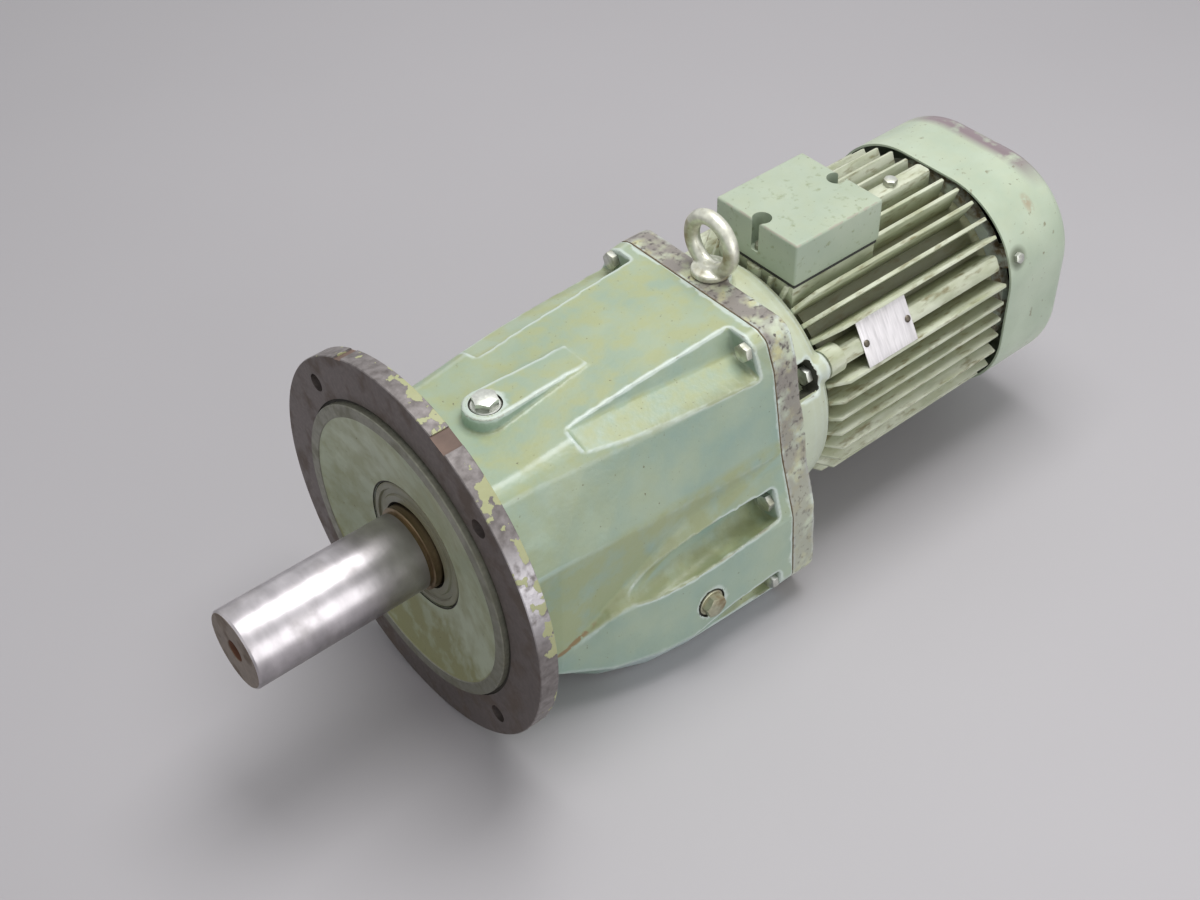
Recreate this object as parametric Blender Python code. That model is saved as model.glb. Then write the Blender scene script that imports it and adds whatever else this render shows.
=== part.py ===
"""Flange mounted coaxial helical gear motor, standing on its flange rim and gear housing.

X runs along the shafts, output shaft end towards -X and fan towards +X. Z is up, and z = 0 is the
surface that the machine stands on. Lengths are metres. A "station" is a distance behind the mounting
face of the output flange, and heights in the gear housing are measured from the output shaft axis.
"""

import math

import bmesh
import bpy
from mathutils import Matrix, Vector

# Fits
SEAT_GAP = 0.0003
BEARING_PLAY = 0.0008
LIP_PLAY = 0.0005
BOLT_CLEARANCE = 0.0003
BACKLASH = 0.00035

# Output flange
FLANGE_DIAMETER = 0.300
FLANGE_THICKNESS = 0.015
PILOT_DIAMETER = 0.230
PILOT_HEIGHT = 0.004
PILOT_GROOVE_WIDTH = 0.004
PILOT_GROOVE_DEPTH = 0.001
BOLT_CIRCLE = 0.265
FLANGE_HOLE_DIAMETER = 0.014
FLANGE_HOLE_COUNT = 4
DISH_DIAMETER = 0.210
DISH_DEPTH = 0.010

# Output shaft
SHAFT_END_DIAMETER = 0.060
SHAFT_END_LENGTH = 0.140
SHAFT_CHAMFER = 0.0015
SEAL_SEAT_DIAMETER = 0.065
SHAFT_SHOULDER_DIAMETER = 0.080
GEAR_SEAT_DIAMETER = 0.068
SHAFT_KEY_WIDTH = 0.018
SHAFT_KEYWAY_DEPTH = 0.007
SHAFT_KEYWAY_LENGTH = 0.110
CENTRE_HOLE_DIAMETER = 0.010
CENTRE_HOLE_DEPTH = 0.022
GEAR_KEY_HEIGHT = 0.011
GEAR_KEY_LENGTH = 0.034

# Seals: diameter outside and width
OUTPUT_SEAL_DIAMETER = 0.100
OUTPUT_SEAL_WIDTH = 0.010
MOTOR_SEAL_DIAMETER = 0.052
MOTOR_SEAL_WIDTH = 0.008

# Bearings: bore, diameter outside, width
OUTPUT_FRONT_BEARING_WIDTH = 0.018
OUTPUT_REAR_SEAT_DIAMETER = 0.070
OUTPUT_REAR_BEARING_DIAMETER = 0.110
OUTPUT_REAR_BEARING_WIDTH = 0.020
LAY_FRONT_SEAT_DIAMETER = 0.020
LAY_FRONT_BEARING_DIAMETER = 0.047
LAY_FRONT_BEARING_WIDTH = 0.014
LAY_REAR_SEAT_DIAMETER = 0.025
LAY_REAR_BEARING_DIAMETER = 0.062
LAY_REAR_BEARING_WIDTH = 0.017
ROTOR_FRONT_SEAT_DIAMETER = 0.035
ROTOR_FRONT_BEARING_DIAMETER = 0.080
ROTOR_FRONT_BEARING_WIDTH = 0.021
ROTOR_REAR_SEAT_DIAMETER = 0.030
ROTOR_REAR_BEARING_DIAMETER = 0.062
ROTOR_REAR_BEARING_WIDTH = 0.016
OUTPUT_FRONT_BEARING = (SEAL_SEAT_DIAMETER, OUTPUT_SEAL_DIAMETER, OUTPUT_FRONT_BEARING_WIDTH)
OUTPUT_REAR_BEARING = (OUTPUT_REAR_SEAT_DIAMETER, OUTPUT_REAR_BEARING_DIAMETER, OUTPUT_REAR_BEARING_WIDTH)
LAY_FRONT_BEARING = (LAY_FRONT_SEAT_DIAMETER, LAY_FRONT_BEARING_DIAMETER, LAY_FRONT_BEARING_WIDTH)
LAY_REAR_BEARING = (LAY_REAR_SEAT_DIAMETER, LAY_REAR_BEARING_DIAMETER, LAY_REAR_BEARING_WIDTH)
ROTOR_FRONT_BEARING = (ROTOR_FRONT_SEAT_DIAMETER, ROTOR_FRONT_BEARING_DIAMETER, ROTOR_FRONT_BEARING_WIDTH)
ROTOR_REAR_BEARING = (ROTOR_REAR_SEAT_DIAMETER, ROTOR_REAR_BEARING_DIAMETER, ROTOR_REAR_BEARING_WIDTH)
BEARING_SPREAD = 0.068
INNER_RING_SHARE = 0.3

# Gears
OUTPUT_CENTRES = 0.082
MOTOR_CENTRES = 0.070
OUTPUT_GEAR_TEETH = 40
LAY_PINION_TEETH = 14
LAY_GEAR_TEETH = 53
MOTOR_PINION_TEETH = 15
OUTPUT_GEAR_WIDTH = 0.040
LAY_PINION_WIDTH = 0.043
LAY_GEAR_WIDTH = 0.028
MOTOR_PINION_WIDTH = 0.031
OUTPUT_NORMAL_MODULE = 0.003
MOTOR_NORMAL_MODULE = 0.002
PRESSURE_ANGLE = math.radians(20)
ADDENDUM_SHARE = 0.92
DEDENDUM_SHARE = 1.25

# Gear housing
HOUSING_TOP = 0.098
HOUSING_TOP_HALF_WIDTH = 0.070
HOUSING_WAIST_HALF_WIDTH = 0.100
HOUSING_FOOT_HALF_WIDTH = 0.121
CHAMBER_FRONT = 0.126
CHAMBER_LENGTH = 0.1385
CHAMBER_WALL = 0.017
CHAMBER_FLOOR_WALL = 0.008
FLOOR_CLEARANCE = 0.0036
HOUSING_LENGTH = CHAMBER_FRONT + CHAMBER_LENGTH
LAY_GEAR_PITCH_RADIUS = MOTOR_CENTRES * LAY_GEAR_TEETH / (LAY_GEAR_TEETH + MOTOR_PINION_TEETH)
LAY_GEAR_REACH = LAY_GEAR_PITCH_RADIUS + ADDENDUM_SHARE * MOTOR_NORMAL_MODULE
HOUSING_DEPTH = OUTPUT_CENTRES + LAY_GEAR_REACH + FLOOR_CLEARANCE + CHAMBER_FLOOR_WALL
RIM_THICKNESS = 0.018
POCKET_FLOOR_THICKNESS = 0.012
GASKET_THICKNESS = 0.0005
TOP_BOLT = (HOUSING_TOP_HALF_WIDTH + 0.0025, HOUSING_TOP - 0.0115)
WAIST_BOLT = (HOUSING_WAIST_HALF_WIDTH + 0.003, -0.040)
FOOT_BOLT = (HOUSING_FOOT_HALF_WIDTH - 0.008, 0.033 - HOUSING_DEPTH)
HOUSING_BOLT_PLACES = (TOP_BOLT, WAIST_BOLT, FOOT_BOLT)
HOUSING_BOLT_DIAMETER = 0.008
HOUSING_BOLT_HEAD = 0.013
HOUSING_BOLT_HEAD_HEIGHT = 0.0055
DOWEL_DIAMETER = 0.008
DOWEL_LENGTH = 0.020
DOWEL_HEIGHT = -0.012
FILLER_SETBACK = 0.061
FILLER_BOSS_DIAMETER = 0.034
FILLER_BOSS_TOP = 0.092
FILLER_FAIRING_LENGTH = 0.080
LEVEL_SETBACK = 0.0805
LEVEL_HEIGHT = -0.093
DRAIN_SETBACK = 0.0745
DRAIN_HEIGHT = -0.100
PLUG_THREAD_DIAMETER = 0.016
PLUG_HEAD = 0.017
PLUG_HEAD_HEIGHT = 0.008
PLUG_LENGTH = 0.012

# Motor adapter
PLATE_THICKNESS = 0.0225
DOME_DIAMETER = 0.206
MOTOR_FACE_DIAMETER = 0.180
DOME_LENGTH = 0.0386
ADAPTER_WALL = 0.009
EYEBOLT_SETBACK = 0.0189
EYE_OUTSIDE = 0.054
EYE_INSIDE = 0.030
EYE_BOSS_FOOT = 0.080
EYE_COLLAR_DIAMETER = 0.030
EYE_COLLAR_HEIGHT = 0.005
EYE_THREAD_DIAMETER = 0.012
EYE_THREAD_LENGTH = 0.016
EYE_HEIGHT = 0.053

# Motor
FRAME_LENGTH = 0.200
FRAME_BORE = 0.148
FRAME_ROOT_DIAMETER = 0.158
FIN_THICKNESS = 0.0035
FIN_NOSE_LENGTH = 0.026
FIN_NOSE_RISE = 0.022
# First and last degree round the motor's axis of the fins with sloped fronts, and of those before the pad
FIN_NOSE_SECTORS = ((38, 65), (115, 142), (156, 263), (277, 384))
PAD_SECTOR = (66, 114)
RIB_DIAMETER = 0.2015
FIN_HALF_WIDTH = RIB_DIAMETER / 2 - 0.00375
FIN_CORNER_RADIUS = FIN_HALF_WIDTH - 0.025
RIB_WIDTH = 0.015
# Distance from the motor's axis to the flat crest of a wide rib
RIB_CREST = RIB_DIAMETER / 2 * math.cos(math.asin(RIB_WIDTH / RIB_DIAMETER))
RIB_ANGLES = (31, 90, 149, 270)
RIB_MARGIN = 11.5
FINS_BETWEEN_RIBS = (5, 5, 11, 11)
MOTOR_BOLT_ANGLES = (31, 149, 270)
MOTOR_BOLT_RADIUS = 0.0905
MOTOR_BOLT_DIAMETER = 0.008
MOTOR_BOLT_HEAD = 0.013
MOTOR_BOLT_HEAD_HEIGHT = 0.0055
MOTOR_BOLT_LENGTH = 0.032
LUG_DIAMETER = 0.024
LUG_LENGTH = 0.015
SPIGOT_LENGTH = 0.005
CORE_LENGTH = 0.110
CORE_SETBACK = 0.045
AIR_GAP = 0.0008
ROTOR_DIAMETER = 0.104
ROTOR_SHAFT_DIAMETER = 0.044
PINION_SEAT_DIAMETER = 0.018
WINDING_LENGTH = 0.026
WINDING_INSIDE = 0.112
WINDING_OUTSIDE = 0.142
SHIELD_THICKNESS = 0.016
SHIELD_DIAMETER = 0.180
FAN_DIAMETER = 0.156
FAN_HUB_DIAMETER = 0.052
FAN_WIDTH = 0.026
FAN_BLADES = 6
FAN_BLADE_THICKNESS = 0.003

# Fan cover
COVER_OVERLAP = 0.005
COVER_LENGTH = 0.078
COVER_HALF_WIDTH = FIN_HALF_WIDTH + 0.002
COVER_CORNER_RADIUS = COVER_HALF_WIDTH - 0.025
COVER_CORNER_FACETS = 6
COVER_WALL = 0.0018
COVER_EDGE_RADIUS = 0.017
COVER_SCREW_STATION = 0.010
COVER_SCREW_DIAMETER = 0.005
GRILLE_RINGS = ((0.024, 0.044, 8), (0.050, 0.074, 16))
GRILLE_SLOT_WIDTH = 0.007

# Terminal box, heights above the output axis
BOX_SETBACK = 0.002
BOX_LENGTH = 0.091
BOX_WIDTH = 0.086
BOX_PAD_TOP = 0.0833
BOX_GASKET_THICKNESS = 0.0026
BOX_HEIGHT = 0.0370
BOX_WALL = 0.003
BOX_NOTCH_DIAMETER = 0.015
BOX_NOTCH_INSET = 0.0065
BOX_LEDGE = 0.010
LID_SCREW_DIAMETER = 0.005
LID_SCREW_HEAD = 0.009
CABLE_PLUG_DIAMETER = 0.020
CABLE_PLUG_HEAD = 0.024

# Nameplate and earth screw
NAMEPLATE_SETBACK = 0.061
NAMEPLATE_LENGTH = 0.053
NAMEPLATE_WIDTH = 0.037
NAMEPLATE_THICKNESS = 0.0008
NAMEPLATE_ANGLE = math.radians(149)
RIVET_SPACING = 0.045
RIVET_DIAMETER = 0.003
EARTH_SCREW_SETBACK = 0.151
EARTH_SCREW_DIAMETER = 0.006

# How finely round pieces are faceted
ROUND = 24
INNER_ROUND = 16
SMALL_ROUND = 12
DRILLED_ROUND = 8
FLANGE_ROUND = 48

# Places that follow from the sizes above
DISH_FACE = DISH_DEPTH - PILOT_HEIGHT
OUTPUT_FRONT_STATION = DISH_FACE + OUTPUT_SEAL_WIDTH + 0.002
OUTPUT_REAR_STATION = OUTPUT_FRONT_STATION + OUTPUT_FRONT_BEARING[2] + BEARING_SPREAD
LAY_FRONT_STATION = CHAMBER_FRONT - 0.002 - LAY_FRONT_BEARING[2]
OUTPUT_GEAR_STATION = CHAMBER_FRONT + 0.008
ADAPTER_FACE = HOUSING_LENGTH + 2 * SEAT_GAP + GASKET_THICKNESS
PLATE_BACK = ADAPTER_FACE + PLATE_THICKNESS
FRAME_FRONT = PLATE_BACK + DOME_LENGTH + SEAT_GAP
FRAME_BACK = FRAME_FRONT + FRAME_LENGTH
LAY_REAR_STATION = ADAPTER_FACE + 0.001
LAY_GEAR_STATION = ADAPTER_FACE - 0.0156 - LAY_GEAR_WIDTH
ROTOR_FRONT_STATION = PLATE_BACK + 0.004
ROTOR_REAR_STATION = FRAME_BACK - 0.006
CORE_STATION = FRAME_FRONT + CORE_SETBACK
BOX_STATION = FRAME_FRONT + BOX_SETBACK
NAMEPLATE_STATION = FRAME_FRONT + NAMEPLATE_SETBACK
EARTH_SCREW_STATION = FRAME_FRONT + EARTH_SCREW_SETBACK
EYEBOLT_STATION = ADAPTER_FACE + EYEBOLT_SETBACK
FILLER_STATION = FLANGE_THICKNESS + FILLER_SETBACK
LEVEL_STATION = HOUSING_LENGTH - LEVEL_SETBACK
DRAIN_STATION = HOUSING_LENGTH - DRAIN_SETBACK
COVER_STATION = FRAME_BACK - COVER_OVERLAP
COVER_BACK = COVER_STATION + COVER_LENGTH
FIN_END = COVER_STATION - 0.003
FACE_X = (SHAFT_END_LENGTH - COVER_BACK) / 2
AXIS_Z = max(FLANGE_DIAMETER / 2, HOUSING_DEPTH)
LAY_Z = AXIS_Z - OUTPUT_CENTRES
MOTOR_Z = LAY_Z + MOTOR_CENTRES
RIM_FRONT = HOUSING_LENGTH - RIM_THICKNESS
POCKET_FLOOR = HOUSING_LENGTH - POCKET_FLOOR_THICKNESS

# Paint and metal colours, sRGB
CAST_GREEN = ((0.55, 0.63, 0.53), 0.55, 0.0)
MOTOR_GREEN = ((0.58, 0.60, 0.42), 0.6, 0.0)
SHEET_GREEN = ((0.62, 0.70, 0.60), 0.5, 0.0)
STEEL = ((0.66, 0.64, 0.62), 0.35, 1.0)
BEARING_STEEL = ((0.72, 0.72, 0.73), 0.25, 1.0)
ZINC = ((0.74, 0.73, 0.68), 0.35, 1.0)
RUBBER = ((0.07, 0.07, 0.07), 0.7, 0.0)
GASKET_PAPER = ((0.20, 0.17, 0.12), 0.9, 0.0)
COPPER = ((0.60, 0.32, 0.17), 0.45, 0.6)
LAMINATION = ((0.35, 0.35, 0.37), 0.5, 0.9)
ALUMINIUM = ((0.83, 0.83, 0.82), 0.4, 1.0)
BLACK_PLASTIC = ((0.05, 0.05, 0.05), 0.6, 0.0)
PAINTED_SEAL = ((0.50, 0.58, 0.46), 0.6, 0.0)


def clear_scene():
    """Start from an empty scene."""
    for item in list(bpy.data.objects):
        bpy.data.objects.remove(item, do_unlink=True)


def along(station):
    """World x of a station behind the mounting face."""
    return FACE_X + station


def finish_material(name, finish):
    """A Principled material with the piece's own colour, roughness and metallic value."""
    colour, roughness, metallic = finish
    made = bpy.data.materials.new(name)
    made.use_nodes = True
    shader = made.node_tree.nodes["Principled BSDF"]
    linear = [(c / 12.92) if c <= 0.04045 else ((c + 0.055) / 1.055) ** 2.4 for c in colour]
    shader.inputs["Base Color"].default_value = (*linear, 1.0)
    shader.inputs["Roughness"].default_value = roughness
    shader.inputs["Metallic"].default_value = metallic
    return made


def flat_faced(shape):
    """Split faces whose corners don't lie in one plane, so that the Booleans cut them exactly."""
    shape.normal_update()
    bent = [f for f in shape.faces if any(abs((v.co - f.verts[0].co).dot(f.normal)) > 1e-7 for v in f.verts)]
    bmesh.ops.triangulate(shape, faces=bent)
    return shape


def piece(name, shape, finish, axis_z=0.0, parent=None):
    """Make one named piece from a bmesh that is drawn about its own axis height."""
    mesh = bpy.data.meshes.new(name)
    flat_faced(shape).to_mesh(mesh)
    shape.free()
    made = bpy.data.objects.new(name, mesh)
    bpy.context.collection.objects.link(made)
    mesh.shade_smooth()
    mesh.set_sharp_from_angle(angle=math.radians(35))
    mesh.materials.append(finish_material(name, finish))
    if parent is None:
        made.location = (0.0, 0.0, axis_z)
    else:
        made.parent = parent
    return made


def body_axis(name, height):
    """An empty on a turning body's axis, which carries the body's pieces."""
    empty = bpy.data.objects.new(name, None)
    empty.location = (0.0, 0.0, height)
    bpy.context.collection.objects.link(empty)
    return empty


def combine(target, shape, operation, label):
    """Add or cut a bmesh, drawn in the target's own frame, with an exact Boolean."""
    mesh = bpy.data.meshes.new(label)
    flat_faced(shape).to_mesh(mesh)
    shape.free()
    tool = bpy.data.objects.new(label, mesh)
    bpy.context.collection.objects.link(tool)
    tool.hide_render = True
    tool.display_type = "WIRE"
    tool.parent = target.parent
    tool.location = target.location
    change = target.modifiers.new(label, "BOOLEAN")
    change.operation = operation
    change.object = tool
    change.solver = "EXACT"


def cut(target, shape, label):
    combine(target, shape, "DIFFERENCE", label)


def fuse(target, shape, label):
    combine(target, shape, "UNION", label)


def turned(profile, segments=ROUND, height=0.0, across=0.0):
    """Revolve a closed (station, radius) profile about a line along X."""
    shape = bmesh.new()
    rows = []
    for station, radius in profile:
        circle = regular(radius, segments, 0.0, (across, height)) if radius > 0 else [(across, height)]
        rows.append([shape.verts.new((along(station), y, z)) for y, z in circle])
    for near, far in zip(rows, rows[1:] + rows[:1]):
        if len(near) == 1 and len(far) == 1:
            continue
        for i in range(segments):
            j = i + 1
            corners = [near[i % len(near)], near[j % len(near)], far[j % len(far)], far[i % len(far)]]
            shape.faces.new(list(dict.fromkeys(corners)))
    bmesh.ops.recalc_face_normals(shape, faces=shape.faces)
    return shape


def round_bar(start, end, diameter, segments=SMALL_ROUND, across=0.0, height=0.0):
    """A plain cylinder along X between two stations."""
    radius = diameter / 2
    return turned(((start, 0.0), (start, radius), (end, radius), (end, 0.0)), segments, height, across)


def loft(rings):
    """Skin matching rings of points and close both ends."""
    shape = bmesh.new()
    rows = [[shape.verts.new(point) for point in ring] for ring in rings]
    count = len(rows[0])
    for near, far in zip(rows, rows[1:]):
        for i in range(count):
            j = (i + 1) % count
            shape.faces.new((near[i], near[j], far[j], far[i]))
    shape.faces.new(list(reversed(rows[0])))
    shape.faces.new(rows[-1])
    bmesh.ops.recalc_face_normals(shape, faces=shape.faces)
    return shape


def prism(outline, start, end):
    """Extrude a (y, z) outline along X between two stations."""
    return loft([[(along(s), y, z) for y, z in outline] for s in (start, end)])


def upright(outline, low, high):
    """Extrude an (x, y) outline along Z."""
    return loft([[(x, y, z) for x, y in outline] for z in (low, high)])


def placed(shape, matrix):
    """Move a bmesh by a matrix."""
    bmesh.ops.transform(shape, matrix=matrix, verts=shape.verts)
    return shape


def gather(shapes):
    """Put separate shapes side by side in one tool."""
    whole = bmesh.new()
    for shape in shapes:
        scratch = bpy.data.meshes.new("scratch")
        shape.to_mesh(scratch)
        shape.free()
        whole.from_mesh(scratch)
        bpy.data.meshes.remove(scratch)
    return whole


def regular(radius, count, start=0.0, centre=(0.0, 0.0)):
    """Corners of a regular polygon."""
    step = 2 * math.pi / count
    return [
        (centre[0] + radius * math.cos(start + i * step), centre[1] + radius * math.sin(start + i * step))
        for i in range(count)
    ]


def rectangle(x0, x1, y0, y1):
    return [(x0, y0), (x1, y0), (x1, y1), (x0, y1)]


def rounded(outline, radius, steps=1):
    """Replace each corner of a closed outline by a short arc."""
    result = []
    count = len(outline)
    for i, corner in enumerate(outline):
        here = Vector(corner)
        before = Vector(outline[i - 1]) - here
        after = Vector(outline[(i + 1) % count]) - here
        reach = min(radius, 0.4 * before.length, 0.4 * after.length)
        first = here + before.normalized() * reach
        last = here + after.normalized() * reach
        for k in range(steps + 1):
            t = k / steps
            point = first * (1 - t) ** 2 + here * 2 * t * (1 - t) + last * t**2
            result.append((point.x, point.y))
    return result


def mirrored(half):
    """Full outline from a half that runs from top centre to bottom centre at +Y."""
    return list(half) + [(-y, z) for y, z in reversed(half[1:-1])]


def hex_screw(shank, across_flats, head_height, length):
    """A hex head and its shank along +Z, with the underside of the head at z = 0."""
    head = upright(regular(across_flats / math.sqrt(3), 6), -head_height, 0.0)
    stem = upright(regular(shank / 2, DRILLED_ROUND), 0.0, length)
    return join_coaxial(head, stem, 0.0)


def join_coaxial(head, stem, level):
    """Open two solids at a shared level and stitch the step between them."""
    whole = gather([head, stem])
    lids = [f for f in whole.faces if all(abs(v.co.z - level) < 1e-7 for v in f.verts)]
    bmesh.ops.delete(whole, geom=lids, context="FACES_ONLY")
    rims = [e for e in whole.edges if e.is_boundary]
    bmesh.ops.bridge_loops(whole, edges=rims)
    bmesh.ops.recalc_face_normals(whole, faces=whole.faces)
    return whole


def pointing(direction, origin):
    """Matrix that takes +Z to a direction and the origin to a point."""
    turn = Vector((0.0, 0.0, 1.0)).rotation_difference(Vector(direction)).to_matrix().to_4x4()
    return Matrix.Translation(Vector(origin)) @ turn


def bearing_rings(name, size, station, axis_z, parent, segments=ROUND):
    """Outer ring with its shields on the housing, and inner ring on the shaft."""
    bore, outside, width = size
    inner_outside = bore / 2 + (outside - bore) / 2 * INNER_RING_SHARE
    end = station + width
    low = inner_outside + BEARING_PLAY
    outer = [(station, low), (station, outside / 2), (end, outside / 2), (end, low)]
    piece(name + "_outer", turned(outer, segments), BEARING_STEEL, axis_z)
    low = bore / 2 + SEAT_GAP
    inner = [(station, low), (station, inner_outside), (end, inner_outside), (end, low)]
    piece(name + "_inner", turned(inner, segments), BEARING_STEEL, axis_z, parent)


def rim_half():
    """Half outline of the bolted joint, from top centre to bottom centre."""
    return (
        (0.0, HOUSING_TOP),
        (HOUSING_TOP_HALF_WIDTH, HOUSING_TOP),
        (HOUSING_TOP_HALF_WIDTH + 0.010, HOUSING_TOP - 0.005),
        (HOUSING_WAIST_HALF_WIDTH - 0.011, HOUSING_TOP - 0.028),
        (HOUSING_WAIST_HALF_WIDTH + 0.001, 0.002),
        (HOUSING_WAIST_HALF_WIDTH + 0.003, -0.006),
        (HOUSING_FOOT_HALF_WIDTH - 0.003, 0.095 - HOUSING_DEPTH),
        (HOUSING_FOOT_HALF_WIDTH + 0.001, 0.034 - HOUSING_DEPTH),
        (HOUSING_FOOT_HALF_WIDTH - 0.020, -HOUSING_DEPTH),
        (0.0, -HOUSING_DEPTH),
    )


def box_half():
    """Half outline of the gear housing just in front of the bolted rim."""
    return (
        (0.0, HOUSING_TOP),
        (HOUSING_TOP_HALF_WIDTH - 0.010, HOUSING_TOP - 0.0035),
        (HOUSING_TOP_HALF_WIDTH + 0.003, HOUSING_TOP - 0.015),
        (HOUSING_WAIST_HALF_WIDTH - 0.014, HOUSING_TOP - 0.027),
        (HOUSING_WAIST_HALF_WIDTH, 0.000),
        (HOUSING_WAIST_HALF_WIDTH - 0.002, -0.008),
        (HOUSING_FOOT_HALF_WIDTH - 0.005, 0.093 - HOUSING_DEPTH),
        (HOUSING_FOOT_HALF_WIDTH, 0.033 - HOUSING_DEPTH),
        (HOUSING_FOOT_HALF_WIDTH - 0.021, -HOUSING_DEPTH),
        (0.0, -HOUSING_DEPTH),
    )


# Half outline of the neck behind the flange, with the same corners as the box outline
NECK_HALF = (
    (0.0, 0.0780),
    (0.057, 0.0770),
    (0.063, 0.0740),
    (0.068, 0.071),
    (0.094, 0.015),
    (0.079, -0.068),
    (0.076, -0.073),
    (0.068, -0.081),
    (0.053, -0.091),
    (0.0, -0.105),
)

# Shares of the way from neck to box: along, top corners, then (y, z) of crease, ridge, foot and floor
GROWTH = (
    (0.00, 0.00, (0.00, 0.00), (0.00, 0.00), (0.00, 0.00), (0.00, 0.00)),
    (0.23, 0.10, (0.68, -0.17), (0.38, -0.69), (0.38, 0.69), (0.19, 0.63)),
    (0.39, 0.36, (0.79, 0.23), (0.63, 0.81), (0.66, 0.97), (0.57, 0.90)),
    (0.55, 0.60, (0.84, 0.60), (0.83, 1.00), (0.85, 1.03), (0.83, 1.00)),
    (0.69, 0.74, (0.87, 0.90), (0.93, 1.03), (0.94, 1.02), (0.94, 1.00)),
    (1.00, 1.00, (1.00, 1.00), (1.00, 1.00), (1.00, 1.00), (1.00, 1.00)),
)


def housing_section(top, crease, ridge, foot, floor):
    """One cross-section of the casting between neck and box."""
    shares = [(top, top)] * 5 + [crease, ridge, foot, floor, floor]
    return [
        (a[0] + (b[0] - a[0]) * share[0], a[1] + (b[1] - a[1]) * share[1])
        for a, b, share in zip(NECK_HALF, box_half(), shares)
    ]


def housing_body():
    """Cast body from the flange to the bolted rim, as a loft."""
    start = FLANGE_THICKNESS / 2
    reach = RIM_FRONT - start
    rings = []
    for share, *shares in GROWTH:
        outline = rounded(mirrored(housing_section(*shares)), 0.006)
        rings.append([(along(start + reach * share), y, z) for y, z in outline])
    rim = rounded(mirrored(rim_half()), 0.006)
    rings.append([(along(RIM_FRONT + 0.002), y, z) for y, z in rim])
    rings.append([(along(HOUSING_LENGTH), y, z) for y, z in rim])
    return loft(rings)


def chamber_half(widest):
    """Half outline of the gear chamber, scalloped round the housing bolts."""
    floor = CHAMBER_FLOOR_WALL - HOUSING_DEPTH
    return (
        (0.0, HOUSING_TOP - 0.012),
        (0.042, HOUSING_TOP - 0.012),
        (0.055, HOUSING_TOP - 0.024),
        (0.078, 0.034),
        (0.080, -0.008),
        (0.074, -0.026),
        (0.074, -0.060),
        (widest, -0.074),
        (widest, -0.096),
        (widest - 0.016, floor + 0.030),
        (widest - 0.020, floor),
        (0.0, floor),
    )


def chamber_reach():
    """Half width of the gear chamber at its widest, at the joint."""
    return HOUSING_FOOT_HALF_WIDTH - CHAMBER_WALL


def bolt_places():
    """Housing bolt centres on both sides."""
    return [(side * y, z) for side in (-1, 1) for y, z in HOUSING_BOLT_PLACES]


# Each round bolt pocket on the side: radius, length of its run, and how far its front end lies outwards
POCKET_RUNS = ((0.0160, 0.1745, (0.015, -0.007)), (0.0140, 0.0525, (0.014, -0.010)))
TOP_FLUTE_LENGTH = 0.1475
# Heights of the top flute's upper edge, of the foot below it and of its outer lip, at each end
TOP_FLUTE_FRONT = (0.0845, 0.0815, 0.0725)
TOP_FLUTE_REAR = (0.0965, 0.0770, 0.0695)


def bolt_pockets():
    """Fluted pockets that fade out towards the flange, one for each housing bolt."""
    shapes = []
    for side in (-1, 1):
        for (y, z), (radius, run, (out_y, out_z)) in zip(HOUSING_BOLT_PLACES[1:], POCKET_RUNS):
            front = POCKET_FLOOR - run
            near = regular(radius, SMALL_ROUND, 0.0, (side * (y + out_y), z + out_z))
            deep = regular(radius, SMALL_ROUND, 0.0, (side * y, z))
            rings = [[(along(front), a, b) for a, b in near], [(along(POCKET_FLOOR), a, b) for a, b in deep]]
            shapes.append(loft(rings))
        rings = []
        for station, outline in zip((POCKET_FLOOR - TOP_FLUTE_LENGTH, POCKET_FLOOR), top_flute()):
            rings.append([(along(station), side * y, z) for y, z in outline])
        shapes.append(loft(rings))
    return gather(shapes)


def top_flute():
    """Outlines at the front and the rear of the flute that leads to a top bolt."""
    edge = HOUSING_TOP_HALF_WIDTH - 0.017
    crest = HOUSING_WAIST_HALF_WIDTH - 0.0135
    high = HOUSING_TOP + 0.012
    out = crest + 0.030
    brow, foot, lip = TOP_FLUTE_FRONT
    near = ((edge - 0.004, high), (edge - 0.003, brow), (edge + 0.004, foot), (crest - 0.002, lip))
    near += ((out, lip), (out, high))
    brow, foot, lip = TOP_FLUTE_REAR
    far = ((edge, high), (edge, brow), (edge + 0.007, foot), (crest, lip), (out, lip), (out, high))
    return near, far


def housing_bores():
    """Dish, seal seat and bearing seats on the output axis, in one turned tool."""
    seal = OUTPUT_SEAL_DIAMETER / 2 + SEAT_GAP
    front_end = OUTPUT_FRONT_STATION + OUTPUT_FRONT_BEARING[2] + SEAT_GAP
    rear = OUTPUT_REAR_BEARING[1] / 2 + SEAT_GAP
    shoulder = OUTPUT_FRONT_BEARING[1] / 2 - 0.005
    return turned(
        (
            (-PILOT_HEIGHT - 0.002, 0.0),
            (-PILOT_HEIGHT - 0.002, DISH_DIAMETER / 2),
            (-PILOT_HEIGHT, DISH_DIAMETER / 2),
            (DISH_FACE, seal + 0.003),
            (DISH_FACE, seal),
            (front_end, seal),
            (front_end, shoulder),
            (OUTPUT_REAR_STATION - SEAT_GAP, shoulder),
            (OUTPUT_REAR_STATION - SEAT_GAP, rear),
            (CHAMBER_FRONT + 0.002, rear),
            (CHAMBER_FRONT + 0.002, 0.0),
        )
    )


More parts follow.
